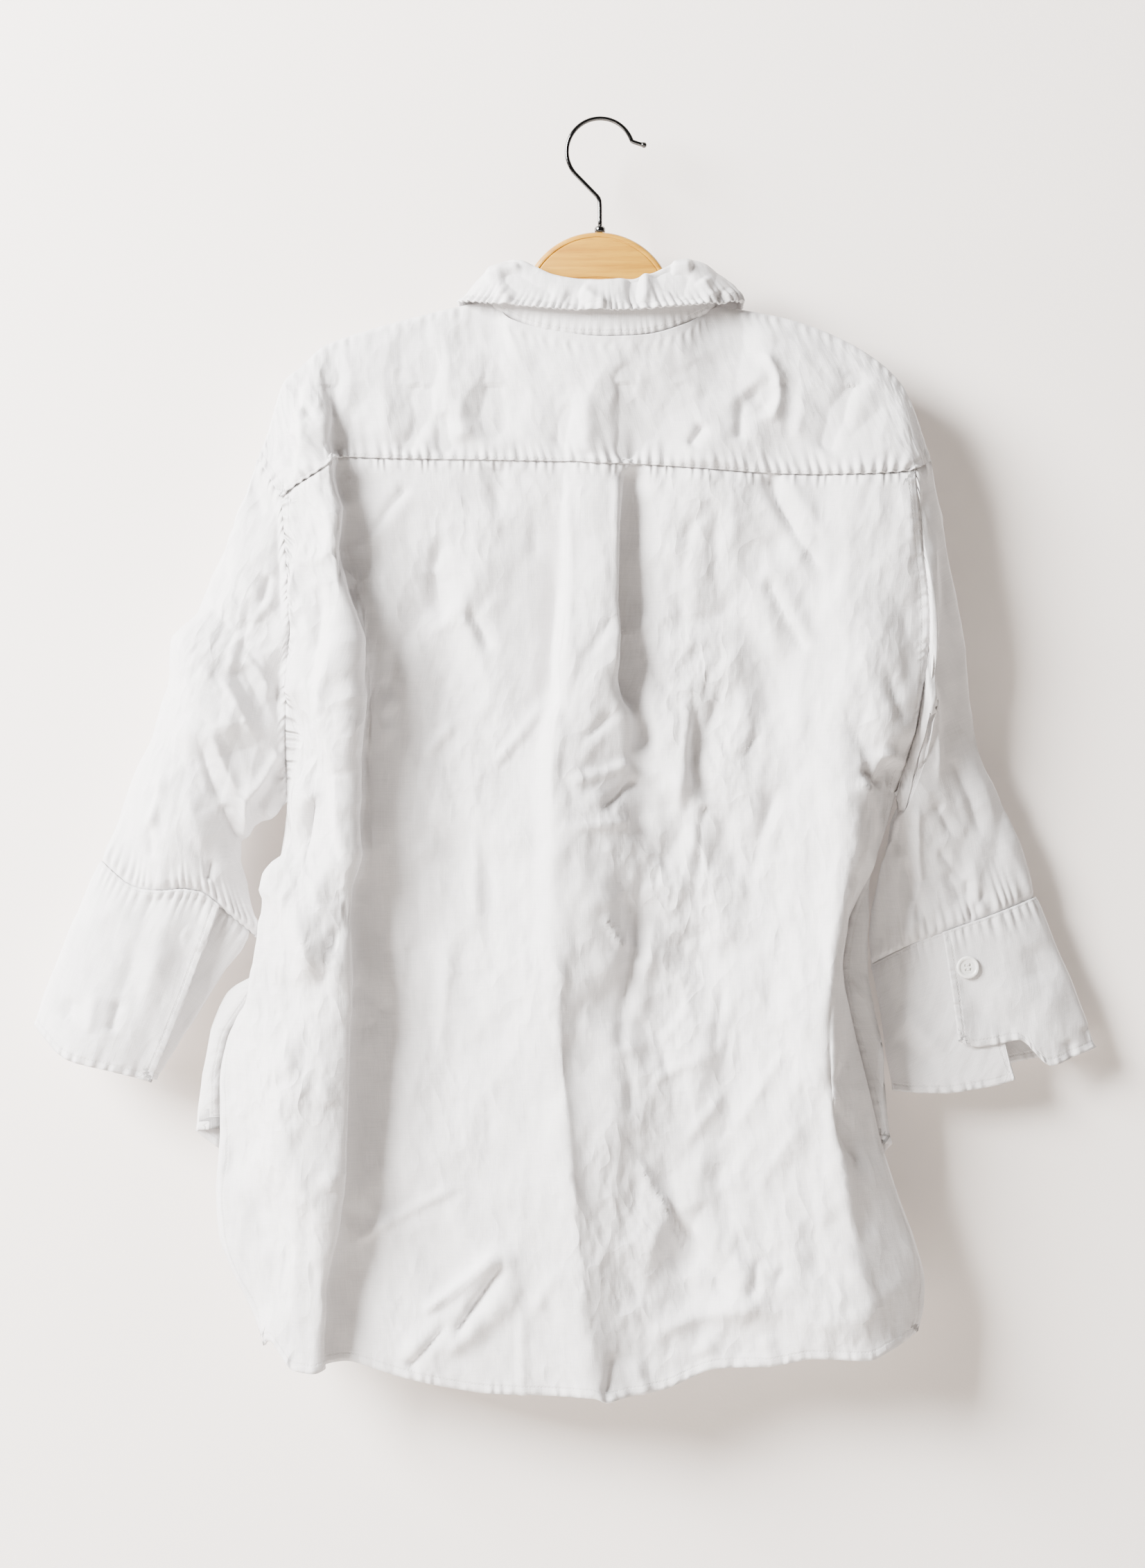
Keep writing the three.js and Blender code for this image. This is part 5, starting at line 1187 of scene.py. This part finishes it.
def timber():
    m = Nodes("varnished_wood")
    grain = m.noise(m.place(9, 90, 150), 1, 5, 0.62)
    pores = m.noise(m.place(60, 700, 1100), 1, 2)
    tone = m.mix(m.ramp(grain, 0.35, 0.68, 0, 1), WOOD_DARK, WOOD_LIGHT)
    tone = m.mix(m.ramp(pores, 0.58, 0.72, 0, 0.35), tone, WOOD_PORE)
    bump = m.bump(grain * 0.12 + pores * -0.05, 0.6, 0.001)
    return m.finish(m.skin(tone, 0.42, bump, Coat_Weight=0.35, Coat_Roughness=0.18))


def chrome():
    m = Nodes("bright_chrome")
    haze = m.noise(m.place(), 160, 4, 0.6)
    tone = m.mix(m.ramp(haze, 0.45, 0.75, 0, 0.4), CHROME_LIGHT, CHROME_DARK)
    bump = m.bump(m.noise(m.place(), 1400, 2), 0.25, 0.0002)
    return m.finish(m.skin(tone, m.ramp(haze, 0.3, 0.7, 0.07, 0.2), bump, Metallic=1))


def pearl():
    m = Nodes("pearly_button")
    cloud = m.noise(m.place(), 260, 3)
    tone = m.mix(m.ramp(cloud, 0.35, 0.65, 0, 1), PEARL_DARK, PEARL_LIGHT)
    bump = m.bump(m.noise(m.place(), 1800, 2), 0.2, 0.0003)
    return m.finish(m.skin(tone, 0.28, bump, Coat_Weight=0.4, Coat_Roughness=0.1))


def thread_material():
    m = Nodes("sewing_thread")
    twist = m.noise(m.place(), 3200, 2)
    tone = m.mix(twist, THREAD_DARK, THREAD_LIGHT)
    return m.finish(m.skin(tone, 0.8, m.bump(twist, 0.5, 0.0002)))


LINEN = linen()
WOOD = timber()
CHROME = chrome()
PEARL = pearl()
THREAD = thread_material()


# ---- Sewing the pieces -------------------------------------------------------
REAR = (0, -1, 0, 0.5)
FRONT = (0, 1, 0, 0.5)
SLEEVE_REAR = (0, -1, 0, 0.25)


def pad(values, end):
    """One more row past an end, the same as the last."""
    if end == "top":
        return np.concatenate([values[:1], values])
    return np.concatenate([values, values[-1:]])


def sink(away, depth=TUCK_DEPTH, reach=TUCK):
    """The edge of a piece, sunk under its neighbour."""
    return -depth * (1 - smooth(0, reach, away))


class Cloth:
    """A piece's fine grid, with where each of its points is along the cloth."""

    def __init__(self, grid, facing=REAR, wrap=False):
        self.grid, self.facing, self.wrap = grid, facing, wrap
        self.n = faces_of(grid, wrap, facing)
        self.down, self.across = runs(grid)
        self.top, self.foot = self.down, self.down[-1:] - self.down
        self.left, self.right = self.across, self.across[:, -1:] - self.across
        flat = np.zeros_like(self.down)
        # Each edge: the distance from it, and the length along it.
        self.edge = {
            "top": (self.top, self.across[:1] + flat),
            "foot": (self.foot, self.across[-1:] + flat),
            "left": (self.left, self.down[:, :1] + flat),
            "right": (self.right, self.down[:, -1:] + flat),
        }
        self.x, self.z = seen(grid)

    def within(self, reach):
        """A fade toward both side edges."""
        return smooth(0, reach, self.left) * smooth(0, reach, self.right)

    def hem(self):
        return THIN + HEM_RISE * (1 - smooth(HEM_WIDTH - 1, HEM_WIDTH + 1, self.foot))

    def pucker(self, edge, pitch, rise, reach, seed, root=0.15, start=0):
        away, run = self.edge[edge]
        return pucker(run, away - start, pitch, rise, reach, seed, root)

    def threads(self, column):
        """Cloth coordinates whose upright threads run beside one column."""
        return -self.grid[..., 2], self.across - self.across[:, column:column + 1]

    def woven(self, warp, lines, seams=(), worn=1.0):
        """The attributes that the linen reads.

        warp: the cloth coordinates down and across. lines: an edge and an offset for each
        line of stitches. seams: an edge, and the pitch, reach and rise of its gathers.
        """
        shape = self.down.shape
        made = {"down": warp[0], "across": warp[1], "worn": np.broadcast_to(worn, shape).copy()}

        def nearest(columns):
            columns = [[np.broadcast_to(c, shape) for c in row] for row in columns]
            pick = np.stack([row[0] for row in columns]).argmin(axis=0)[None]
            return [np.take_along_axis(np.stack(c), pick, 0)[0] for c in zip(*columns)]

        dashes = [(self.edge[name][0] - offset, self.edge[name][1]) for name, offset in lines]
        dashes = [(np.abs(away), away, run) for away, run in dashes]
        gathered = [(self.edge[name][0] / reach, self.edge[name][1] / pitch, rise)
                    for name, pitch, reach, rise in seams]
        _, made["stitch"], made["run"] = nearest(dashes or [NO_STITCH])
        made["near"], made["gather"], made["draw"] = nearest(gathered or [NO_GATHER])
        return made

    def dress(self, name, height, thickness, attributes, ends=()):
        """The piece itself, with the rows that are tucked under its neighbours."""
        grid = self.grid + self.n * height[..., None]
        n = faces_of(grid, self.wrap, self.facing)
        for end in ends:
            i, j = (0, 1) if end == "top" else (-1, -2)
            extra = grid[i] + unit(grid[i] - grid[j]) * TUCK - n[i] * TUCK_DEPTH
            grid = np.concatenate([extra[None], grid] if end == "top" else [grid, extra[None]])
            n = pad(n, end)
            attributes = {k: pad(v, end) for k, v in attributes.items()}
            if np.ndim(thickness) == 2:
                thickness = pad(thickness, end)
        return shell(name, grid, n, thickness, self.wrap, attributes)


BACK_COLUMNS = even(
    curve(np.arange(LAST + 1), back_lines(np.array([0, 0.15, 0.35, 0.6, 0.85, 1.0]))),
    (0, LAST), 200)
YOKE_COLUMNS = even(lambda t: yoke_rows(t).transpose(1, 0, 2), (0, LAST), 400)


def sew_back():
    v = even(lambda t: back_grid(np.linspace(0, LAST, 40), t), (0, 1), 234)
    c = Cloth(back_grid(BACK_COLUMNS, v))
    side = c.within(SIDE_FADE)
    # Relief that faces the light needs more height to show.
    boost = 1.3 + 0.3 * smooth(-25, -60, c.x) - 0.35 * smooth(-185, -200, c.x)
    h = creases(c.x, c.z, BACK_CREASES) * side * smooth(-2, 5, c.top) * boost
    h += crumple(c.x, c.z, 3) * side * smooth(0, 7, c.top) * (0.4 + 0.6 * smooth(0, 12, c.foot))
    h += sink(c.top)
    seam = smooth(0.36, 0.38, v)[:, None] * smooth(VENT + 0.01, VENT - 0.01, v)[:, None]
    h += 0.8 * seam * (bell(c.left - 5, 3) + bell(c.right - 5, 3))
    h += 1.8 * line_noise(c.edge["foot"][1], 26, 61) * bell(c.foot, 16, 1.3) * side
    armhole_side = smooth(0.39, 0.35, v)[:, None]
    return c.dress("back_panel_cloth", h, c.hem(), c.woven(
        c.threads(100), [("foot", HEM_WIDTH), ("left", SEAM_STITCH), ("right", SEAM_STITCH)],
        [("top", YOKE_PITCH, 11, 0.6), ("foot", HEM_PITCH, 12, 0.5),
         ("left", 8.5, 14, 1.5 * armhole_side), ("right", 10.5, 12, 0.5 * armhole_side)],
        worn_at(c.x, c.z)), ends=("top",))


def sew_yoke():
    rows = yoke_rows(YOKE_COLUMNS)
    line = curve(np.arange(len(rows)), rows)
    c = Cloth(line(even(line, (0, len(rows) - 1), 62)))
    side, over = c.within(SIDE_FADE), smooth(4, 26, c.top)
    h = 1.7 * creases(c.x, c.z, YOKE_CREASES) * side * over
    h += crumple(c.x, c.z, 3, 1.3) * side * over * smooth(0, 7, c.foot)
    h += c.pucker("foot", YOKE_PITCH, 2.6, 8, 21, 0.5) + 1.1 * bell(c.foot, 7)
    h += c.pucker("top", 10, 1.2, 9, 33, start=5) * smooth(3, 8, c.top)
    h += c.pucker("left", 9.5, 1.2, 10, 27) + c.pucker("right", 9.5, 1.2, 10, 30)
    # The cloth stays clear of the wood under it.
    room = np.where(c.grid[..., 2] > -208, 0.35, 3.0)
    h = np.maximum(h, -np.minimum(room, 0.35 + 0.05 * c.top))
    return c.dress("yoke_cloth", h, THIN, c.woven(
        c.threads(200), [("foot", 1.9), ("left", SEAM_STITCH), ("right", SEAM_STITCH)],
        [("foot", YOKE_PITCH, 14, 0), ("left", 9.5, 12, 0.5), ("right", 9.5, 12, 0.5)],
        worn_at(c.x, c.z)))


def sew_front(front, name, seed):
    grid, _ = refine(front_rows(front, np.linspace(0, 8, 33)), 176, 84)
    c = Cloth(grid, FRONT)
    x, z = grid[..., 0], grid[..., 2]
    side = c.within(SIDE_FADE)
    h = creases(x, z, FRONT_CREASES) * side * smooth(10, 30, c.top)
    h += crumple(x + 900, z, seed, 0.9) * side * smooth(14, 34, c.top)
    h = h + smooth(-520, -560, z) * sink(c.left)
    piece = c.dress(name, h, c.hem(), c.woven(
        c.threads(60), [("foot", HEM_WIDTH), ("left", SEAM_STITCH)],
        [("foot", HEM_PITCH, 11, 0.3), ("left", 12, 12, 0.3)], worn_at(x + 900, z)))
    return piece, grid[:, -1]


def sew_sleeve(side, rings, cuff, name, rear_table, front_table, seed):
    rows, rear_us, front_us = sleeve_rows(side, rings, cuff)
    grid, s = refine(rows, 128, 236, wrap=True)
    c = Cloth(grid, SLEEVE_REAR, wrap=True)
    x, y, z = grid[..., 0], grid[..., 1], grid[..., 2]
    is_rear = smooth(0.25, -0.25, c.n[..., 1])
    crease_rise, crumple_rise = SLEEVE_RELIEF[side]
    h = creases(c.x, c.z, rear_table) * is_rear + creases(x, z, front_table) * (1 - is_rear)
    h = np.maximum(crease_rise * h, -4.5)
    h = h * smooth(0, 8, c.top) * smooth(-1, 5, c.foot)
    rear_crumple = crumple(c.x, c.z, seed, crumple_rise)
    front_crumple = crumple(x + 700, z, seed + 4)
    h += lerp(front_crumple, rear_crumple, is_rear) * smooth(0, 12, c.top) * smooth(0, 9, c.foot)
    h += c.pucker("foot", CUFF_PITCH, 2.2, 12, seed + 7)
    h += c.pucker("top", 9, 0.8, 8, seed + 8)
    h += sink(c.top) + sink(c.foot)
    h -= 0.8 * bell(s - len(rear_us) + 0.5, 2.2)[None, :] * smooth(10, 0, c.top)
    # The rings slant across the sleeve, so its threads follow its long axis instead.
    axis = unit(np.mean(rings[-1][:2], axis=0) - np.mean(rings[0][:2], axis=0))
    along = x * axis[0] + z * axis[1] + 0.35 * y
    aside = x * axis[1] - z * axis[0] + 0.9 * y
    piece = c.dress(name, h, THIN, c.woven(
        (along, aside), [], [("foot", CUFF_PITCH, 12, 0), ("top", 9, 10, 0.9)],
        0.7 * lerp(1.0, worn_at(c.x, c.z), is_rear)), ends=("top", "foot"))
    return piece, rear_us, front_us


def sew_cuff(side, us, rings, cuff, name, table, seed):
    grid, _ = refine(cuff_rows(*us, rings, cuff), 60, 200)
    c = Cloth(grid, FRONT)
    is_rear = smooth(0.2, -0.2, c.n[..., 1])
    lap = smooth(30, 50, c.right)
    h = creases(c.x, c.z, table) * is_rear * lap * smooth(2, 10, c.top)
    h += 0.45 * crumple(c.x + 400, c.z, seed) * lap * smooth(0, 8, c.top) * smooth(0, 5, c.foot)
    h += c.pucker("top", CUFF_PITCH, 2.0, 11, seed + 1) * smooth(0, 3, c.top) * lap
    h += c.pucker("foot", 10, 0.8, 8, seed + 2, 0.6) * lap
    h += c.pucker("left", 9, 0.7, 8, seed + 3, 0.6)
    h += FLAP_RISE * bell(c.left, 9) * smooth(0, 12, c.top)
    if side < 0:
        # The button underneath shows through the flap as a low round.
        away = np.hypot(c.x - HIDDEN_BUTTON[0], c.z - HIDDEN_BUTTON[1])
        h += 1.3 * smooth(10.4, 8.2, away) * is_rear
    return c.dress(name, h, DOUBLE, c.woven(
        (c.down, c.across), [("top", 2.2), ("foot", 5.5), ("left", 5.5), ("right", 5.5)],
        [("foot", 10, 9, 0.5), ("left", 9, 8, 0.4)], 0.5))


def collar_columns(grid, end, count):
    return even(lambda t: grid(t, np.array([0, 0.5, 1.0])).transpose(1, 0, 2), (-end, end), count)


def sew_fall():
    w = even(lambda t: fall_grid(np.linspace(-0.9, 0.9, 30), t), (0, 1), 44)
    c = Cloth(fall_grid(collar_columns(fall_grid, FALL_END, 430), w))
    rear = smooth(10, -5, c.grid[..., 1])
    h = 1.1 * crumple(c.x + 300, c.z, 41) * smooth(0, 6, c.foot) * smooth(0, 6, c.top)
    h += 1.8 * creases(c.x, c.z, COLLAR_CREASES) * rear * smooth(-1, 4, c.top)
    h = np.maximum(h, -3.0)
    h += c.pucker("foot", 6.2, 2.3, 8.5, 44, 0.7)
    return c.dress("collar_fall_cloth", h, DOUBLE, c.woven(
        c.threads(215), [("foot", 5), ("left", 5), ("right", 5)], worn=0.6))


def sew_stand():
    c = Cloth(stand_grid(collar_columns(stand_grid, STAND_END, 330), np.linspace(0, 1, 20)))
    ends = smooth(0, 5, c.top) * smooth(0, 5, c.foot)
    h = c.pucker("top", 6.5, 1.3, 6, 47, 0.6)
    h += 0.25 * crumple(c.grid[..., 0] + 500, c.grid[..., 2] * 2, 50) * ends
    h += sink(c.top, 1.0, 2.5)
    return c.dress("collar_stand_cloth", h, DOUBLE, c.woven(
        c.threads(165), [("top", 2.4)], worn=0.6), ends=("top",))


def sew_band(edge, side, name, seed):
    c = Cloth(band_grid(edge, side, np.linspace(0, 1, 15)), FRONT)
    h = 0.3 * crumple(c.grid[..., 0] + 1300, c.grid[..., 2], seed)
    h = h * smooth(0, 5, c.left) * smooth(0, 20, c.top)
    h += c.pucker("left", 8, 0.5, 8, seed + 1) * smooth(0, 3, c.left)
    return c.dress(name, h, DOUBLE, c.woven(
        (c.down, c.across), [("left", 2), ("right", 2)], worn=0.5))


PIECES = {"back_panel": sew_back(), "yoke": sew_yoke()}
PIECES["front_left"], left_run = sew_front(FRONT_LEFT, "front_left_cloth", 11)
PIECES["front_right"], right_run = sew_front(FRONT_RIGHT, "front_right_cloth", 15)
PIECES["button_band"] = sew_band(left_run, 1, "button_band_cloth", 52)
PIECES["buttonhole_band"] = sew_band(right_run, -1, "buttonhole_band_cloth", 55)
PIECES["sleeve_left"], *left_us = sew_sleeve(
    -1, SLEEVE_LEFT, CUFF_LEFT, "sleeve_left_cloth", SLEEVE_LEFT_CREASES, SLEEVE_LEFT_FRONT, 5)
PIECES["sleeve_right"], *right_us = sew_sleeve(
    1, SLEEVE_RIGHT, CUFF_RIGHT, "sleeve_right_cloth", SLEEVE_RIGHT_CREASES,
    SLEEVE_RIGHT_FRONT, 8)
PIECES["cuff_left"] = sew_cuff(
    -1, left_us, SLEEVE_LEFT, CUFF_LEFT, "cuff_left_cloth", CUFF_LEFT_CREASES, 17)
PIECES["cuff_right"] = sew_cuff(
    1, right_us, SLEEVE_RIGHT, CUFF_RIGHT, "cuff_right_cloth", CUFF_RIGHT_CREASES, 19)
PIECES["collar_fall"] = sew_fall()
PIECES["collar_stand"] = sew_stand()


# ---- Round bodies ------------------------------------------------------------
def circle(u, w, sides):
    """Unit vectors round a circle from u toward w, or round a row of such circles."""
    angle = np.arange(sides) * 2 * math.pi / sides
    return u[..., None, :] * np.cos(angle)[:, None] + w[..., None, :] * np.sin(angle)[:, None]


def between(rings, count, loop=False):
    """The faces between rings of count points, and from the last to the first in a loop."""
    i, k = np.meshgrid(range(rings if loop else rings - 1), range(count), indexing="ij")
    here, beyond, turn = i * count, (i + 1) % rings * count, (k + 1) % count
    faces = np.stack([here + k, here + turn, beyond + turn, beyond + k], -1)
    return faces.reshape(-1, 4).tolist()


def caps(rings, count):
    """The flat faces that close the first and the last ring."""
    return [list(range(count))[::-1], list(range((rings - 1) * count, rings * count))]


def fix_normals(obj):
    bpy.context.view_layer.update()
    bm = bmesh.new()
    bm.from_mesh(obj.data)
    bmesh.ops.recalc_face_normals(bm, faces=bm.faces)
    bm.to_mesh(obj.data)
    bm.free()
    return obj


def sharpen(obj, degrees):
    obj.data.set_sharp_from_angle(angle=math.radians(degrees))
    return obj


def bar(name, points, radii, up, sides, material):
    """A round bar through points, each with its own radius."""
    points = np.asarray(points, float)
    way = unit(np.gradient(points, axis=0))
    right = unit(np.cross(way, up))
    rings = circle(right, np.cross(right, way), sides)
    position = (points[:, None] + rings * np.asarray(radii)[:, None, None]).reshape(-1, 3)
    faces = between(len(points), sides) + caps(len(points), sides)
    return fix_normals(make(name, position, faces, material))


def turned(name, profile, sides, origin, material):
    """A ring turned round the upright through origin: profile rows are radius, height."""
    round_it = circle(np.array([0.0, 1, 0]), np.array([-1.0, 0, 0]), sides)
    rows = [np.array(origin) + np.array([0, 0, height]) + radius * round_it
            for radius, height in profile]
    return fix_normals(make(
        name, np.concatenate(rows), between(len(rows), sides, loop=True), material))


# ---- Hanger and hook ---------------------------------------------------------
HANGER_TOP = [
    (56, -119.5), (66, -131), (75, -143), (85, -153.5), (100, -158.5), (120, -160.5),
    (138, -162.5), (157, -165), (180, -172), (205, -181.2), (215, -187), (220, -193),
]
HANGER_FOOT = [
    (221, -199), (216, -204.5), (205, -204), (157, -189), (100, -168), (70, -153),
    (45, -136), (22, -129.5), (0, -128),
]
# The rim: inset from the outline, and height above the middle.
HANGER_RIM = [
    (0, 2.6), (0.35, 3.9), (1.1, 5.1), (2.3, 5.75), (3.4, 5.95), (3.9, 5.9), (4.3, 5.35),
    (4.8, 5.35), (5.2, 5.9), (5.6, 6.0),
]
# The wire from the wood to the bend, from the bend to the ball, and along the ball.
HOOK_FOOT = [
    (0.3, HANGER_PIVOT + 0.7), (0.3, -78), (0.3, -70), (0.25, -66), (0, -62.5),
    (-0.75, -60.6), (-1.9, -59.0),
]
HOOK_TIP = [(25.6, -16.2), (27, -16.9), (29.5, -17.7), (32.0, -18.5)]
HOOK_BALL = [
    (32.9, -18.72), (33.3, -18.8), (33.9, -18.95), (34.6, -19.1), (35.3, -19.25),
    (36.0, -19.4), (36.5, -19.52), (36.85, -19.6),
]
BALL_RADII = [1.75, 2.0, BALL_RADIUS, 2.25, BALL_RADIUS, 1.85, 1.3, 0.5]
HOOK_BEND = np.radians([220.7 - 201.7 * k / 51 for k in range(52)])
FERRULE = [(2.0, 0), (3.9, 0), (4.2, 0.3), (4.2, 2.9), (4.05, 3.3), (3.5, 4.1), (3.1, 4.4),
           (2.0, 4.4)]


def hanger_outline():
    right = [(HUMP_RADIUS * math.sin(math.radians(a)),
              HANGER_PIVOT - HUMP_RADIUS * (1 - math.cos(math.radians(a))))
             for a in range(0, 61, 4)]
    points = np.array(right + HANGER_TOP + HANGER_FOOT, float)
    run = lengths(points)
    fine = curve(run, points)(np.arange(0, run[-1], 1.6))
    fine = np.concatenate([fine, points[-1:]])
    loop = np.concatenate([fine, fine[1:-1][::-1] * (-1, 1)])
    turn = math.radians(-HANGER_TILT)
    dz = loop[:, 1] - HANGER_PIVOT
    return np.stack([loop[:, 0] * math.cos(turn) - dz * math.sin(turn),
                     HANGER_PIVOT + loop[:, 0] * math.sin(turn) + dz * math.cos(turn)], -1)


def carve_hanger():
    loop = hanger_outline()
    ahead = np.roll(loop, -2, axis=0) - np.roll(loop, 2, axis=0)
    inward = unit(np.stack([ahead[:, 1], -ahead[:, 0]], -1))
    after = np.roll(loop, -1, axis=0)
    if np.sum(loop[:, 0] * after[:, 1] - after[:, 0] * loop[:, 1]) > 0:
        inward = -inward
    rings = [(inset, -y) for inset, y in HANGER_RIM[::-1]] + HANGER_RIM
    position = []
    for inset, y in rings:
        p = loop + inward * inset
        position.append(np.stack([p[:, 0], np.full(len(p), float(y)), p[:, 1]], -1))
    faces = between(len(rings), len(loop))
    last = (len(rings) - 1) * len(loop)
    for a, b, c in tessellate_polygon([[Vector((p[0], p[2], 0)) for p in position[0]]]):
        faces += [(a, b, c), (last + a, last + c, last + b)]
    return sharpen(fix_normals(make(
        "hanger_wood_body", np.concatenate(position), faces, WOOD)), 40)


def bend_hook():
    x, z = HOOK_CENTRE
    bend = [(x + HOOK_RADIUS * math.cos(a), z + HOOK_RADIUS * math.sin(a)) for a in HOOK_BEND]
    wire = HOOK_FOOT + bend + HOOK_TIP
    radii = [WIRE_RADIUS] * len(wire) + BALL_RADII
    return bar("hook_wire_body", [(x, 0, z) for x, z in wire + HOOK_BALL], radii, (0, 1, 0), 28,
               CHROME)


PIECES["hanger_wood"] = carve_hanger()
PIECES["hook_wire"] = bend_hook()
PIECES["ferrule"] = sharpen(
    turned("ferrule_collar", FERRULE, 56, (0.3, 0, HANGER_PIVOT + 0.4), CHROME), 50)


# ---- Buttons -----------------------------------------------------------------
HOLE = 1.75
HOLES = [(HOLE, HOLE), (-HOLE, HOLE), (HOLE, -HOLE), (-HOLE, -HOLE)]
DISH = 0.85
BUTTON_TURN = math.radians(8)
BUTTON_FOOT = [
    (BUTTON_RADIUS, 0.9), (BUTTON_RADIUS - 0.35, 0.35), (BUTTON_RADIUS - 1.1, 0.05), (4, 0.02),
    (0.3, 0.02),
]


def seat_of(node, facing):
    """A button's place, axis and height, from its solid."""
    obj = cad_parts[node]
    p = np.array([v.co for v in obj.data.vertices], float) * 1000
    p = np.unique(p.round(4), axis=0)
    centre = p.mean(axis=0)
    _, _, vt = np.linalg.svd(p - centre)
    axis = vt[2] if vt[2][1] * facing > 0 else -vt[2]
    along = (p - centre) @ axis
    return centre + axis * along.min(), axis, along.max() - along.min()


def button(name, node, facing, rings, sectors):
    origin, axis, tall = seat_of(node, facing)
    u = unit(np.cross(axis, (0.0, 0.0, 1.0)))
    w = np.cross(axis, u)
    c, s = math.cos(BUTTON_TURN), math.sin(BUTTON_TURN)
    u, w = u * c + w * s, -u * s + w * c
    radius = np.concatenate([
        np.linspace(0.02, 3.9, rings), np.linspace(4.3, 7.0, 6),
        np.linspace(7.3, BUTTON_RADIUS, 7)])
    r, a = np.meshgrid(radius, np.arange(sectors) * 2 * math.pi / sectors, indexing="ij")
    x, y = r * np.cos(a), r * np.sin(a)
    dish = tall - DISH * smooth(7.2, 5.6, r)
    dish = dish - 0.95 * smooth(BUTTON_RADIUS - 0.9, BUTTON_RADIUS, r) ** 2
    for cx, cy in HOLES:
        dish = lerp(0.35, dish, smooth(0.75, 1.08, np.hypot(x - cx, y - cy)))
    top = origin + axis * dish[..., None] + u * x[..., None] + w * y[..., None]
    skirt = [origin + axis * low + out * circle(u, w, sectors) for out, low in BUTTON_FOOT]
    position = np.concatenate([top.reshape(-1, 3)] + skirt)
    total = len(radius) + len(BUTTON_FOOT)
    faces = between(total, sectors) + caps(total, sectors)
    body = sharpen(fix_normals(make(name, position, faces, PEARL)), 60)
    t = np.linspace(-1, 1, 17)
    lift = tall - DISH - 0.15 + 0.45 * (1 - t ** 4)
    radii = 0.33 * np.sqrt(np.clip(1 - t ** 8, 0.15, 1))
    threads = []
    for end, aside in (("a", -HOLE), ("b", HOLE)):
        line = origin + axis * lift[:, None] + u * (HOLE * t)[:, None] + w * aside
        threads.append(bar(f"{name}_thread_{end}", line, radii, axis, 10, THREAD))
    return body, threads


BUTTONS = [("cuff_button_right", -1, 26, 96), ("cuff_button_left", -1, 14, 48)]
BUTTONS += [(f"front_button_{k}", 1, 14, 48) for k in range(1, 7)]
for node, facing, rings, sectors in BUTTONS:
    body, threads = button(f"{node}_body", node, facing, rings, sectors)
    PIECES[node] = body
    for thread in threads:
        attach(thread, "root")


# ---- Each piece joins the root, and its solid is hidden ----------------------
for node, piece in PIECES.items():
    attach(piece, "root")
    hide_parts(node)


# ---- Stage -------------------------------------------------------------------
WALL_Y = 50
FLOOR_Z = -1900
REACH = 4000
WALL_TOP = 2600


def paint(name, colour, see_through):
    m = Nodes(name)
    mottle = m.noise(m.place(), 3, 4, 0.6)
    tone = m.mix(m.ramp(mottle, 0.3, 0.7, 0, 1), colour + (1,),
                 tuple(c * 0.97 for c in colour) + (1,))
    bump = m.bump(m.noise(m.place(), 420, 2), 0.15, 0.0005)
    skin = m.skin(tone, 0.9, bump, Specular_IOR_Level=0.2)
    if not see_through:
        return m.finish(skin)
    # The wall is clear from behind, and lets through the light that stands behind it.
    behind = m.add("ShaderNodeNewGeometry", "Backfacing")
    shadow = m.add("ShaderNodeLightPath", "Is Shadow Ray")
    clear = m.add("ShaderNodeBsdfTransparent")
    return m.finish(m.blend(m.math("MAXIMUM", behind, shadow), skin, clear))


def plane(name, corners, material):
    make(name, corners, [(0, 1, 2, 3)], material, smooth_faces=False)


plane("wall", [(-REACH, WALL_Y, FLOOR_Z), (REACH, WALL_Y, FLOOR_Z), (REACH, WALL_Y, WALL_TOP),
               (-REACH, WALL_Y, WALL_TOP)], paint("painted_wall", (0.93, 0.865, 0.815), True))
plane("floor", [(-REACH, -REACH, FLOOR_Z), (REACH, -REACH, FLOOR_Z), (REACH, WALL_Y, FLOOR_Z),
                (-REACH, WALL_Y, FLOOR_Z)], paint("pale_floor", (0.62, 0.58, 0.54), False))


def area_light(name, place, target, width, height, power, colour):
    light = bpy.data.lights.new(name, "AREA")
    light.shape = "RECTANGLE"
    light.size = width
    light.size_y = height
    light.energy = power
    light.color = colour
    obj = bpy.data.objects.new(name, light)
    obj.location = place
    obj.rotation_euler = (Vector(target) - Vector(place)).to_track_quat("-Z", "Y").to_euler()
    bpy.context.scene.collection.objects.link(obj)


area_light("window", (-2.75, -1.95, 1.0), (0, 0, -0.5), 1.9, 1.6, 980, (1.0, 0.995, 0.985))
area_light("room", (1.9, 2.0, 0.9), (0, 0, -0.45), 1.6, 1.4, 75, (1.0, 0.985, 0.96))
world = bpy.data.worlds.new("room_light")
world.use_nodes = True
world.node_tree.nodes["Background"].inputs["Color"].default_value = (1.0, 0.945, 0.89, 1)
world.node_tree.nodes["Background"].inputs["Strength"].default_value = 0.08
bpy.context.scene.world = world

lens = bpy.data.cameras.new("camera")
lens.lens = 72.1
camera = bpy.data.objects.new("camera", lens)
camera.location = (CAMERA[0] / 1000, CAMERA[1] / 1000, CAMERA[2] / 1000)
camera.rotation_euler = (math.radians(90), 0, 0)
bpy.context.scene.collection.objects.link(camera)
bpy.context.scene.camera = camera
